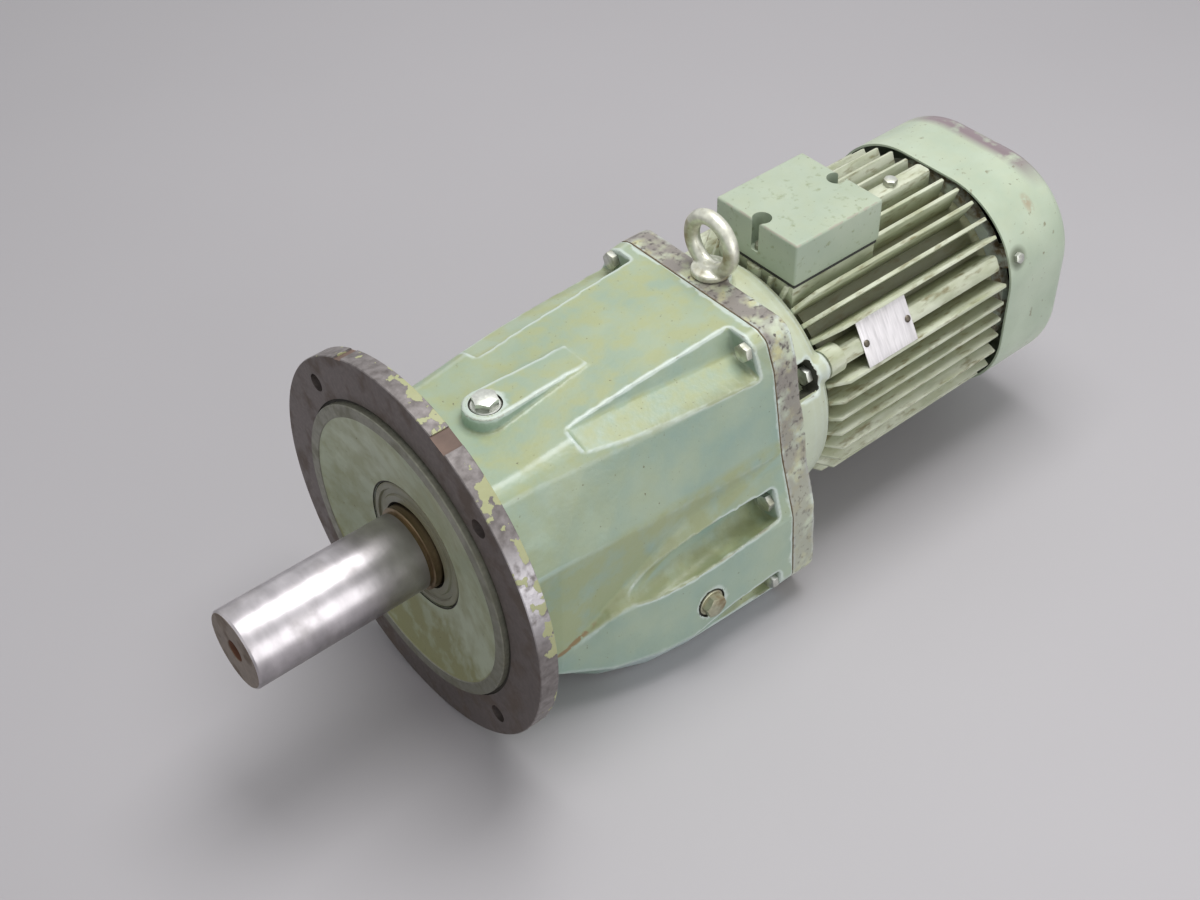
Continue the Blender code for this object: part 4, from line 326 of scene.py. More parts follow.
def enamel(name, pale, deep, dust, dirt=0.6, grain=0.0035, bump=0.35, wear_and_painted_edges=None, bare="#8f8d80", stains=None):
    """Alkyd enamel on metal: dusty where it faces up and, where a wear amount is given, rubbed to bare metal
    along its edges, with painted shade darkening the concave creases and a painted highlight along the
    crests.
    """
    made, tree, place = new_material(name)
    normal = add(tree, "ShaderNodeNewGeometry", out="Normal")
    edge = add(tree, "ShaderNodeNewGeometry", out="Pointiness")
    blotches = patches(tree, place, 0.016, 0.40, 0.64, detail=6.0)
    flecks = patches(tree, place, 0.0030, 0.67, 0.73)
    settled = along(tree, normal, "Z", 0.15, 0.75, dirt, dirt * 0.15)
    cover = add(tree, "ShaderNodeMath", (blotches, 0.6, 0.4), operation="MULTIPLY_ADD")
    clouds = patches(tree, place, 0.050, 0.36, 0.64)
    layers = [(pale, clouds), (dust, settled, cover), ("#6a6650", flecks, blotches)]
    if wear_and_painted_edges:
        # Painted shade: concave creases are darkened, with some dirt in them too.
        hollow = add(tree, "ShaderNodeMapRange", (edge, 0.490, 0.45, 0.0, 0.7))
        # Painted highlight: a pale line is laid along the sharp crests.
        ridge = add(tree, "ShaderNodeMapRange", (edge, 0.5035, 0.518, 0.0, 0.65))
        layers += [("#5c5f4b", hollow, blotches), ("#cdd8d4", ridge)]
    if stains:
        layers += stains(tree, place)
    base = layered(tree, colour(deep), layers)
    coarse = add(tree, "ShaderNodeTexNoise", {"Vector": place, "Scale": 1 / grain, "Detail": 2.0})
    rough = add(tree, "ShaderNodeMath", (blotches, 0.12, 0.30), operation="MULTIPLY_ADD")
    if wear_and_painted_edges:
        rubbed = add(tree, "ShaderNodeMapRange", (edge, 0.535, 0.560))
        flaked = patches(tree, place, 0.014, 0.62 - 0.35 * wear_and_painted_edges, 0.70 - 0.30 * wear_and_painted_edges, detail=6.0)
        worn = add(tree, "ShaderNodeMath", (rubbed, flaked), operation="MULTIPLY")
        metal = layered(tree, colour(bare), [("#7b6a52", patches(tree, place, 0.0045, 0.40, 0.60))])
        base = add(tree, "ShaderNodeMix", {0: worn, 6: base, 7: metal}, 2, data_type="RGBA")
        coarse = add(tree, "ShaderNodeMath", (worn, -0.5, coarse), operation="MULTIPLY_ADD")
        rough = add(tree, "ShaderNodeMath", (worn, 0.2, rough), operation="MULTIPLY_ADD")
    return surface(made, (coarse, bump, 0.0005), Base_Color=base, Roughness=rough, IOR=1.5)


def chipped_band(tree, place):
    """The adapter's edge: paint knocked off to dark iron and yellow primer, most of it near the top."""
    normal = add(tree, "ShaderNodeNewGeometry", out="Normal")
    band = (
        along(tree, normal, "X", 0.8, 0.4),
        along(tree, place, "X", at(0.2895), at(0.2885)),
        along(tree, place, "Z", AXIS - 0.07, AXIS + 0.07, 1.0, 0.5),
    )
    return [
        ("#bcba90", patches(tree, place, 0.010, 0.50, 0.60, detail=5.0), *band),
        ("#87817b", patches(tree, place, 0.018, 0.36, 0.52, detail=6.0), *band),
        ("#5a5450", patches(tree, place, 0.0045, 0.56, 0.68), *band),
    ]


def flute_dirt_and_painted_light(tree, place):
    """Olive dirt and painted shade on the up-facing faces of the sides, a painted highlight on down-facing
    walls such as the flutes' upper walls toward the back, a yellow-olive tint above the slanting crease, and
    rust along that crease on each side.
    """
    normal = add(tree, "ShaderNodeNewGeometry", out="Normal")
    folded = add(tree, "ShaderNodeVectorMath", (place,), operation="ABSOLUTE")
    outer = along(tree, folded, "Y", 0.074, 0.084)
    ragged = patches(tree, place, 0.020, 0.30, 0.55, detail=6.0)
    broken = patches(tree, place, 0.006, 0.45, 0.52)
    start = Vector((-at(0.062), 0.092, AXIS - 0.078))
    end = Vector((-at(0.160), 0.0955, AXIS - 0.032))
    offset = add(tree, "ShaderNodeVectorMath", (folded, tuple(start)), operation="SUBTRACT")
    crossed = (offset, tuple((end - start).normalized()))
    lever = add(tree, "ShaderNodeVectorMath", crossed, operation="CROSS_PRODUCT")
    crease = near(tree, lever, (0.0, 0.0, 0.0), 0.0032, 0.0016)
    rise = 0.3825
    slope = add(tree, "ShaderNodeVectorMath", (place, (-rise, 0.0, 1.0)), "Value", operation="DOT_PRODUCT")
    level = AXIS - 0.078 - rise * at(0.062)
    above = add(tree, "ShaderNodeMapRange", (slope, level - 0.001, level + 0.002, 0.0, 0.75))
    return [
        ("#9ba276", above, along(tree, place, "Z", AXIS + 0.014, AXIS + 0.008), ragged),
        # Painted highlight: pale blue on down-facing walls toward the back.
        ("#c2d0d4", along(tree, normal, "Z", -0.28, -0.45, 0.6), along(tree, place, "X", at(0.09), at(0.12))),
        # Dirt and painted shade: dark olive on up-facing faces of the outer sides.
        ("#848a62", outer, along(tree, normal, "Z", 0.25, 0.55, 0.8), ragged),
        ("#8a7552", crease, broken, along(tree, place, "X", at(0.16), at(0.12))),
    ]


def frame_layers(tree, place):
    """Dirt and painted shade between the motor's fins, and light crests that are partly worn paint and partly
    a painted highlight, by the distance from the motor's axis.
    """
    axis, across = (0.0, 0.0, MOTOR), (0.0, 1.0, 1.0)
    drawn_out = (0.3, 1.0, 1.0)
    crest = near(tree, place, axis, 0.093, 0.0965, 0.8, across)
    return [
        # Painted shade with some dirt: darker towards the fin roots.
        ("#8c8c70", near(tree, place, axis, 0.089, 0.080, 0.85, across)),
        # Light crests: partly worn paint, partly a painted highlight.
        ("#d2d6c2", crest, patches(tree, place, 0.012, 0.35, 0.60, drawn_out)),
        ("#86805f", patches(tree, place, 0.0045, 0.54, 0.72, drawn_out, 8.0)),
    ]


def cover_stains_and_painted_shade(tree, place):
    """Brown rubbed band on the cover's round back edge, a rust run beside it, and painted shade darkening
    round one screw seat.
    """
    top = near(tree, place, (at(0.588), 0.005, MOTOR + 0.095), 0.075, 0.045)
    back = along(tree, place, "X", at(0.571), at(0.580))
    run = near(tree, place, (at(0.562), -0.079, MOTOR + 0.089), 0.0075, 0.002, 1.0, (1.0, 0.5, 0.5))
    return [
        ("#8e8f78", patches(tree, place, 0.007, 0.66, 0.72)),
        ("#837478", top, back, patches(tree, place, 0.014, 0.28, 0.46, detail=8.0)),
        ("#9a6d4a", run, patches(tree, place, 0.004, 0.35, 0.5)),
        # Painted shade: a dark spot round the seat of one cover screw.
        ("#5e6452", near(tree, place, (at(0.532), -0.0928, MOTOR + 0.0531), 0.0115, 0.0065, 0.75)),
    ]


def box_scuffs(tree, place):
    """Thin rubbed edges round the top of the terminal box, and a few spots."""
    middle = ((at(BOX_FRONT) + at(BOX_BACK)) / 2, 0.0, 0.0)
    half = ((at(BOX_BACK) - at(BOX_FRONT)) / 2, BOX_HALF, BOX_TOP)
    folded = add(tree, "ShaderNodeVectorMath", (place, middle), operation="SUBTRACT")
    folded = add(tree, "ShaderNodeVectorMath", (folded,), operation="ABSOLUTE")
    inward = add(tree, "ShaderNodeVectorMath", (half, folded), operation="SUBTRACT")
    x, y, z = [add(tree, "ShaderNodeSeparateXYZ", (inward,), axis) for axis in "XYZ"]
    nearest = add(tree, "ShaderNodeMath", (x, y), operation="MINIMUM")
    corner = add(tree, "ShaderNodeMath", (nearest, z), operation="MAXIMUM")
    ragged = patches(tree, place, 0.008, 0.30, 0.60, detail=6.0)
    reach = add(tree, "ShaderNodeMath", (ragged, 0.0016), operation="MULTIPLY")
    rim = add(tree, "ShaderNodeMath", (corner, reach), operation="LESS_THAN")
    return [("#8c9678", patches(tree, place, 0.006, 0.60, 0.75)), ("#aaa999", rim)]


def bare_metal(name, tint, stain, rough, size=0.004, streaks=(1, 1, 1), amount=0.5, bump=0.1, metal=1.0):
    """Metal with fine marks, drawn out along the small figures of streaks, and a stain in patches."""
    made, tree, place = new_material(name)
    marks = patches(tree, place, size, 0.3, 0.7, streaks)
    stained = patches(tree, place, 0.018, 0.50, 0.66, detail=5.0)
    share = add(tree, "ShaderNodeMath", (stained, amount), operation="MULTIPLY")
    shadow = [level * 0.72 for level in colour(tint)[:3]] + [1.0]
    base = layered(tree, shadow, [(tint, marks), (stain, share)])
    dull = add(tree, "ShaderNodeMath", (share, 0.35, rough), operation="MULTIPLY_ADD")
    return surface(made, (marks, bump, 0.0002), Base_Color=base, Roughness=dull, Metallic=metal)


def moulded(name, tint, second, rough, size=0.002, bump=0.15):
    """Plastic, rubber, paper or lacquer with a fine uneven skin and a slight cloudiness."""
    made, tree, place = new_material(name)
    base = layered(tree, colour(tint), [(second, patches(tree, place, 0.02, 0.35, 0.65))])
    skin = add(tree, "ShaderNodeTexNoise", {"Vector": place, "Scale": 1 / size, "Detail": 3.0})
    return surface(made, (skin, bump, 0.0002), Base_Color=base, Roughness=rough, IOR=1.5)


def flaked_rim():
    """Rusted edge of the flange with clinging flakes of yellowish paint, and one stretch rubbed bright."""
    made, tree, place = new_material("rusted_rim_with_paint_flakes")
    cloud = patches(tree, place, 0.006, 0.3, 0.7)
    bright = near(tree, place, (at(0.006), -0.137, AXIS + 0.062), 0.042, 0.010, 0.8)
    ragged = patches(tree, place, 0.008, 0.30, 0.48)
    scraped = add(tree, "ShaderNodeMath", (bright, ragged), operation="MULTIPLY")
    amount = add(tree, "ShaderNodeTexNoise", {"Vector": place, "Scale": 90.0, "Detail": 5.0})
    for more in (
        along(tree, place, "X", at(0.003), at(0.012), 0.07, -0.05),
        along(tree, place, "Y", 0.035, -0.02, 0.0, -0.09),
        along(tree, place, "Z", AXIS + 0.02, AXIS + 0.07, 0.0, -0.07),
    ):
        amount = add(tree, "ShaderNodeMath", (amount, more), operation="ADD")
    left = add(tree, "ShaderNodeMapRange", (amount, 0.555, 0.570))
    height = add(tree, "ShaderNodeMath", (left, cloud), operation="ADD")
    dull = add(tree, "ShaderNodeMath", (scraped, -0.2, 0.55), operation="MULTIPLY_ADD")
    shine = add(tree, "ShaderNodeMath", (left, -0.4, 0.4), operation="MULTIPLY_ADD")
    layers = [("#86807f", cloud), ("#c9c5c9", scraped), ("#a3a57c", left)]
    base = layered(tree, colour("#5f5957"), layers)
    return surface(made, (height, 0.4, 0.0006), Base_Color=base, Roughness=dull, Metallic=shine)


# Brushed enamel has a soft sheen, lies a little uneven on castings and smooth on pressed sheet
CASTING = enamel("enamel_on_cast_iron", "#9fb09e", "#8da59b", "#a3a674", 0.75, wear_and_painted_edges=0.45, stains=flute_dirt_and_painted_light)
FLAT = enamel("enamel_on_flange_back", "#9fb09e", "#8da59b", "#a3a674", 0.4)
PLATE = enamel(
    "enamel_on_adapter", "#c1cab6", "#b6bfac", "#b0b088", wear_and_painted_edges=0.8, bare="#a8a79d", stains=chipped_band
)
FRAME = enamel("enamel_on_aluminium_frame", "#b5bca2", "#a7ae95", "#a5a57b", 0.45, stains=frame_layers)
SHEET = enamel(
    "enamel_on_sheet_steel", "#bac7b3", "#aab9a5", "#b4b99c", 0.4, 0.0012, 0.12, stains=cover_stains_and_painted_shade
)
BOX = enamel("enamel_on_cast_box", "#adb9a6", "#a2b09e", "#a9ae8b", 0.3, 0.0016, 0.15, stains=box_scuffs)
DISH = enamel("enamel_in_dish", "#bfcbb4", "#a8b49c", "#8a8b60", 4.5, bump=0.2)
SEAL = enamel("enamel_on_seal_case", "#84866f", "#737465", "#77745c", 4.0, bump=0.15)
# Turned and ground faces shine in fine streaks; idle ones go dull and brown
RIM = flaked_rim()
MACHINED = bare_metal("turned_cast_iron", "#6f6663", "#5c5046", 0.46, 0.003, amount=0.6, metal=0.6)
LAND = bare_metal("turned_edge_of_pilot", "#8a8a7c", "#6c6a5a", 0.40, 0.004, amount=0.6, metal=0.5)
SHAFT = bare_metal("turned_shaft_steel", "#c6c1c4", "#8c8683", 0.33, 0.010, (1.0, 0.45, 0.45), 0.30, 0.03)
SEAT = bare_metal("stained_seal_seat", "#8d7c62", "#5b4c38", 0.35, 0.0012, (1.0, 0.08, 0.08), 0.7, 0.08)
TIP = bare_metal("corroded_shaft_face", "#7c6f62", "#5b4d40", 0.45, 0.004, amount=0.6, bump=0.2, metal=0.7)
STEEL = bare_metal("ground_gear_steel", "#a4a4a2", "#6f665a", 0.3, 0.003, amount=0.4)
RACE = bare_metal("hardened_bearing_steel", "#c2c3c4", "#9a978f", 0.18, 0.002, amount=0.2, bump=0.04)
CORE = bare_metal("stacked_core_sheets", "#6d6e70", "#574f48", 0.5, 0.0012, (1.0, 0.02, 0.02), 0.4, 0.4)
ROTOR = bare_metal("cast_aluminium_rotor", "#9c9c9a", "#6e6a64", 0.45, 0.004, amount=0.4)
# Zinc plate is pale and satin, with brown where it has worn through
BOLT = bare_metal("zinc_plated_bolt", "#d8dad2", "#8b8a72", 0.36, 0.004, amount=0.7, bump=0.15)
PLUG = bare_metal("worn_brass_toned_plug", "#b9b79f", "#7d6a4c", 0.42, amount=0.8, bump=0.2, metal=0.8)
EYE = bare_metal(
    "forged_zinc_plated_eye", "#e2e2d3", "#8d825f", 0.38, 0.006, amount=0.8, bump=0.25, metal=0.8
)
DULL = bare_metal("dull_slotted_screw", "#8d8f7c", "#5c5844", 0.5, 0.003, metal=0.6)
RIVET = bare_metal("dull_rivet", "#6e675c", "#4a4238", 0.5, 0.002)
LABEL = bare_metal(
    "bare_aluminium_plate", "#f0ecee", "#c8c6c4", 0.42, 0.002, (1.0, 0.1, 0.1), 0.3, 0.05, 0.35
)
# Rust, dirt, rubber and plastic are dull and a little cloudy
NOTCH = moulded("rusted_notch", "#735e53", "#594840", 0.7)
# Painted shade with some dirt: near-black in the pilot's undercut groove and the gap round the output seal.
GROOVE = moulded("dirt_and_painted_shade_in_groove", "#2a2824", "#3a352c", 0.8)
# Painted shade with some dirt: near-black for the plug seat rings and the motor bolt pockets.
GRIME_AND_SHADE = moulded("greasy_dirt_and_painted_shade", "#4a4a3c", "#2f2f28", 0.8, 0.004, 0.3)
RUST = moulded("rust_in_centre_hole", "#6d4632", "#4e3426", 0.85)
WINDING = moulded("varnished_copper_windings", "#9a4f26", "#7d3b1c", 0.35, 0.0022, 0.5)
PAPER = moulded("gasket_paper", "#7a6a50", "#6a5b44", 0.8)
RUBBER = moulded("gasket_rubber", "#2b2b2a", "#353533", 0.7)
BLACK = moulded("black_moulded_plastic", "#232423", "#2c2d2b", 0.45)
FAN = moulded("moulded_fan_plastic", "#3c403c", "#474b46", 0.5, 0.0025)

# Gear housing

def rounded(outline, radius, steps=3):
    """Replaces each corner of a closed (y, z) outline by a short arc."""
    made = []
    for number, corner in enumerate(outline):
        here = Vector(corner)
        before = Vector(outline[number - 1]) - here
        after = Vector(outline[(number + 1) % len(outline)]) - here
        reach = min(radius, 0.4 * before.length, 0.4 * after.length)
        first = here + before.normalized() * reach
        last = here + after.normalized() * reach
        for k in range(steps + 1):
            t = k / steps
            made.append(tuple(first * (1 - t) ** 2 + here * 2 * t * (1 - t) + last * t ** 2))
    return made


def mirrored(half):
    """Whole outline from the half that runs down the +Y side."""
    return list(half) + [(-y, z) for y, z in reversed(half[1:-1])]


def ring_at(station, outline, height=AXIS):
    return [(at(station), y, height + z) for y, z in outline]


# Half outlines round the output axis, from the top middle down: at the neck, the back and the joint
NECK = (
    (0.0, 0.078), (0.057, 0.077), (0.063, 0.074), (0.068, 0.071), (0.094, 0.015),
    (0.079, -0.068), (0.076, -0.073), (0.068, -0.081), (0.053, -0.091), (0.0, -0.105),
)
BACK = (
    (0.0, 0.098), (0.064, 0.0962), (0.0765, 0.0885), (0.0878, 0.0705), (0.1005, 0.001),
    (0.098, -0.008), (0.116, -0.057), (0.121, -0.117), (0.100, -0.150), (0.0, -0.150),
)
JOINT = (
    (0.0, 0.098), (0.070, 0.098), (0.080, 0.093), (0.089, 0.070), (0.101, 0.002),
    (0.103, -0.006), (0.118, -0.055), (0.122, -0.116), (0.101, -0.150), (0.0, -0.150),
)
# Share of the way from neck to back, and how far the top, then (y, z) of crease, ridge, foot and floor grew
GROWTH = (
    (0.00, 0.00, (0.00, 0.00), (0.00, 0.00), (0.00, 0.00), (0.00, 0.00)),
    (0.23, 0.10, (0.68, -0.17), (0.38, -0.69), (0.38, 0.69), (0.19, 0.63)),
    (0.39, 0.36, (0.79, 0.23), (0.63, 0.81), (0.66, 0.97), (0.57, 0.90)),
    (0.55, 0.60, (0.84, 0.60), (0.83, 1.00), (0.85, 1.03), (0.83, 1.00)),
    (0.69, 0.74, (0.87, 0.90), (0.93, 1.03), (0.94, 1.02), (0.94, 1.00)),
)
NECK_START = 0.0075
BACK_START = 0.2465
HOUSING_END = 0.2645
POCKET_FLOOR = 0.2525
CORNER = 0.0025
BOLTS = ((0.0725, 0.0865), (0.103, -0.040), (0.113, -0.117))
DOWEL = (0.0915, -0.012)
LEVEL_Z = AXIS - 0.093
DRAIN_Z = AXIS - 0.100
# Each round bolt pocket: radius, station where it fades out, and how far it drifts outwards on the way
POCKETS = ((0.0160, 0.078, (0.015, -0.007)), (0.0140, 0.150, (0.017, -0.013)))
# Flute of a top bolt at its front and at its back
TOP_FLUTE = {
    0.105: (
        (0.049, 0.110), (0.050, 0.0845), (0.057, 0.0815), (0.0845, 0.0725), (0.1165, 0.0725), (0.1165, 0.110),
    ),
    POCKET_FLOOR: (
        (0.053, 0.110), (0.053, 0.0965), (0.060, 0.0770), (0.0865, 0.0695), (0.1165, 0.0695), (0.1165, 0.110),
    ),
}


def chamber_outline(widest):
    return mirrored((
        (0.0, 0.086), (0.042, 0.086), (0.055, 0.074), (0.078, 0.034), (0.080, -0.008), (0.074, -0.026),
        (0.074, -0.060), (widest, -0.074), (widest, -0.096), (widest - 0.016, -0.112),
        (widest - 0.020, -0.142), (0.0, -0.142),
    ))


def gear_case():
    """The casting between flange and joint, with its flutes, softened before anything is machined."""
    rings = []
    for share, top, *lower in GROWTH:
        shares = [(top, top)] * 5 + lower + [lower[-1]]
        section = [
            (a[0] + (b[0] - a[0]) * s[0], a[1] + (b[1] - a[1]) * s[1]) for a, b, s in zip(NECK, BACK, shares)
        ]
        station = NECK_START + (BACK_START - NECK_START) * share
        rings.append(ring_at(station, rounded(mirrored(section), CORNER)))
    rings.append(ring_at(HOUSING_END + 0.004, rounded(mirrored(JOINT), CORNER)))
    case = lofted("housing_casting", rings)
    combine(case, rod("plain_flange", at(0.001), at(0.0145), 0.1485, sides=96), "UNION")
    nose = arc(at(FILLER), 0.0, 0.017, math.pi / 2, 16) + [(at(0.156), -0.013), (at(0.156), 0.013)]
    boss = lofted("filler_boss", [[(x, y, z) for x, y in nose] for z in (AXIS + 0.060, AXIS + 0.092)])
    combine(case, boss, "UNION")
    for side in (-1, 1):
        flute = [ring_at(s, [(side * y, z) for y, z in outline]) for s, outline in TOP_FLUTE.items()]
        combine(case, lofted("flute", flute))
        for (y, z), (radius, front, (out_y, out_z)) in zip(BOLTS[1:], POCKETS):
            ends = ((front, y + out_y, z + out_z), (POCKET_FLOOR, y, z))
            pocket = [ring_at(s, arc(side * a, b, radius, 0.0, 32, 2 * math.pi)[:-1]) for s, a, b in ends]
            combine(case, lofted("pocket", pocket))
    soften(case, 0.0014, 2, 0.45)
    return faced(case, at(HOUSING_END), 1)


def joint_holes(bolt_start, dowel_start, bolt_end, dowel_end):
    """Bars for the bolt and dowel holes across the joint of housing and adapter."""
    holes = [(bolt_start, bolt_end, y, z) for y, z in BOLTS] + [(dowel_start, dowel_end, *DOWEL)]
    return [rod("hole", a, b, BOLT_HOLE, side * y, AXIS + z) for side in (-1, 1) for a, b, y, z in holes]


def gear_housing():
    case = gear_case()
    disc = turned("flange_disc", (
        (at(-0.004), 0.0), (at(-0.004), 0.1144), (at(-0.0034), 0.115), (at(0.001), 0.115),
        (at(0.001), 0.1172), (at(0.0002), 0.1172), (at(0.0), 0.1174), (at(0.0), 0.1494), (at(0.0006), 0.150),
        (at(0.0144), 0.150), (at(0.015), 0.1494), (at(0.015), 0.0),
    ), steps=144)
    combine(case, disc, "UNION")
    _, end, inner = seat_of("output_front_bearing_outer", 2)
    start, _, rear = seat_of("output_rear_bearing_outer", 2)
    bores = turned("bores", (
        (at(-0.006), 0.0), (at(-0.006), 0.1056), (at(-0.004), 0.1056), (at(-0.0034), 0.105),
        (at(-0.0026), 0.1036), (at(0.0052), 0.0560), (at(0.006), 0.0533), (at(0.006), 0.0514),
        (at(0.0064), 0.0512), (at(0.0064), inner), (end, inner), (end, inner - 0.005),
        (start, inner - 0.005), (start, rear), (at(0.128), rear), (at(0.128), 0.0),
    ), steps=128)
    combine(case, bores)
    chamber = [ring_at(0.126, chamber_outline(0.094)), ring_at(0.2685, chamber_outline(0.104))]
    combine(case, lofted("chamber", chamber))
    start, _, seat = seat_of("lay_front_bearing_outer")
    combine(case, rod("lay_seat", start, at(0.128), seat, z=AXIS - 0.082))
    flange_holes = arc(0.0, AXIS, 0.1325, math.pi / 4, 4, 2 * math.pi)[:-1]
    tools = [rod("hole", at(-0.01), at(0.025), 0.007, y, z) for y, z in flange_holes]
    tools += joint_holes(at(POCKET_FLOOR) - 0.003, at(0.2542), at(0.27), at(0.27))
    tools.append(post("thread", at(FILLER), 0.0, AXIS + 0.046, AXIS + 0.1, 0.0083))
    combine(case, together(tools))
    combine(case, post("spot_face", at(FILLER), 0.0, AXIS + 0.090, AXIS + 0.1, 0.0122, 48))
    level = middle_of("level_plug")
    for x, side, z in ((level, -1, LEVEL_Z), (middle_of("drain_plug"), 1, DRAIN_Z)):
        seat = turned("seat", (
            (0.0, 0.0), (0.0, 0.0083), (0.030, 0.0083), (0.030, 0.0125), (0.036, 0.0125), (0.036, 0.0),
        ), height=0.0, steps=32)
        seat.data.transform(facing((0, side, 0), (x, side * 0.085, z)))
        combine(case, seat)
    notches = []
    for angle, width in ((67, 0.010), (112, 0.016)):
        bar = block("notch", (at(-0.002), -width / 2, 0.1486), (at(0.017), width / 2, 0.156))
        bar.data.transform(round_axis(math.radians(angle - 90), AXIS))
        notches.append(bar)
    combine(case, together(notches))

    def choose(centre, normal):
        reach = math.hypot(centre.y, centre.z - AXIS)
        above = centre.z - AXIS
        by_filler = math.hypot(centre.x - at(FILLER), centre.y) < 0.0127 and 0.089 < above < 0.0915
        by_level = math.hypot(centre.x - level, centre.z - LEVEL_Z) < 0.0127 and centre.y < -0.1145
        # Painted shade: the recessed ring round each plug head is darkened.
        if by_filler or by_level:
            return 8
        if abs(centre.x - at(0.015)) < 0.0006 and normal.x > 0.9:
            return 7
        if centre.x > at(0.0151) or reach > 0.1502:
            return 0
        if 0.1484 < reach < 0.1488:
            return 6
        for inner_edge, number in ((0.1482, 2), (0.1173, 1), (0.1151, 4), (0.1046, 3)):
            if reach > inner_edge:
                return number
        if reach < 0.049 or centre.x > at(0.0066):
            return 1
        # Painted shade: the thin ring at the gap round the seal is darkened.
        return 5 if reach > 0.0513 else 4

    materials = (CASTING, MACHINED, RIM, LAND, GROOVE, DISH, NOTCH, FLAT, GRIME_AND_SHADE)
    finish(case, "gear_housing", materials, choose)


def output_seal():
    seal = turned("seal_casing", (
        (at(0.0063), 0.0345), (at(0.0063), 0.0395), (at(0.0078), 0.0405), (at(0.0078), 0.0440),
        (at(0.0063), 0.0450), (at(0.0063), 0.0487), (at(0.0070), 0.0496), (at(0.0158), 0.0496),
        (at(0.0158), 0.0332), (at(0.0120), 0.0331),
    ), steps=96)

    def choose(centre, _):
        return 1 if math.hypot(centre.y, centre.z - AXIS) < 0.0362 else 0

    finish(seal, "output_oil_seal", (SEAL, RUBBER), choose)


def output_shaft():
    _, front, _ = seat_of("output_front_bearing_inner")
    start, _, _ = seat_of("output_rear_bearing_inner")
    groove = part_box("output_rear_bearing_inner")[1][0] + 0.001
    end = at(0.178)
    shaft = turned("turned_shaft", (
        (at(-0.140), 0.0), (at(-0.140), 0.0285), (at(-0.1397), 0.0287), (at(-0.1385), 0.0299),
        (at(-0.1381), 0.030), (at(-0.0025), 0.030), (at(-0.0012), 0.0297), (at(0.0), 0.0297),
        (at(0.0), 0.0316), (at(0.0006), 0.0325), (front, 0.0325), (front, 0.040), (start, 0.040),
        (start, 0.035), (groove, 0.035), (groove, 0.034), (end, 0.034), (end, 0.0),
    ), steps=144)
    slot = arc(at(-0.116), 0.0, 0.009, math.pi / 2, 12) + arc(at(-0.024), 0.0, 0.009, -math.pi / 2, 12)
    combine(shaft, lofted("keyway", [[(x, y, AXIS + z) for x, z in slot] for y in (0.023, 0.045)]))
    low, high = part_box("output_gear_key")
    low = [value - CLEARANCE for value in low]
    combine(shaft, block("key_bed", low, (high[0] + CLEARANCE, high[1] + 0.01, high[2] + CLEARANCE)))
    combine(shaft, turned("centre_hole", (
        (at(-0.141), 0.0), (at(-0.141), 0.0098), (at(-0.1395), 0.0083), (at(-0.1345), 0.0052),
        (at(-0.118), 0.005), (at(-0.115), 0.0),
    ), steps=48))

    def choose(centre, _):
        if centre.x < at(-0.115) and math.hypot(centre.y, centre.z - AXIS) < 0.0084:
            return 2
        if centre.x < at(-0.1396):
            return 3
        return 1 if centre.x > at(-0.0026) else 0

    finish(shaft, "output_shaft", (SHAFT, SEAT, RUST, TIP), choose, "output")


# Screws

def hex_screw(across, head, shank, length):
    """Hex screw along +X with the underside of its head at x = 0, and turned down corners."""
    corner = across / math.sqrt(3)
    screw = rod("hex_screw", -head, 0.0, corner, 0.0, 0.0, 6)
    flat = 0.46 * across
    drop = (corner - flat) * math.tan(math.radians(30))
    wide = corner * 1.06
    cone = turned("crown", (
        (-head, 0.0), (-head, flat), (-head + drop * 1.15, wide), (0.001, wide), (0.001, 0.0),
    ), height=0.0, steps=48)
    combine(screw, cone, "INTERSECT")
    round_edges(screw, across * 0.012, over=40)
    radius = shank / 2
    bar = turned("shank", (
        (-head / 2, 0.0), (-head / 2, radius), (length - shank * 0.1, radius), (length, shank * 0.4),
        (length, 0.0),
    ), height=0.0, steps=24)
    return combine(screw, bar, "UNION")


def set_screws(screw, places, material=BOLT, prefix="hex_"):
    """One copy of a screw for each node, at its seat and direction."""
    for node, seat, direction, spin in places:
        turn = facing(direction, seat) @ Matrix.Rotation(math.radians(spin), 4, "X")
        finish(copied(screw, prefix + node, turn), node, (material,))
    bpy.data.objects.remove(screw)


def along_x(node, head, spin):
    """Seat of a screw that runs along X with its head to the front."""
    low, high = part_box(node)
    return (node, (low[0] + head, (low[1] + high[1]) / 2, (low[2] + high[2]) / 2), (1, 0, 0), spin)


def polar(radius, degrees):
    """The (y, z) of a place round the motor axis."""
    angle = math.radians(degrees)
    return radius * math.cos(angle), MOTOR + radius * math.sin(angle)


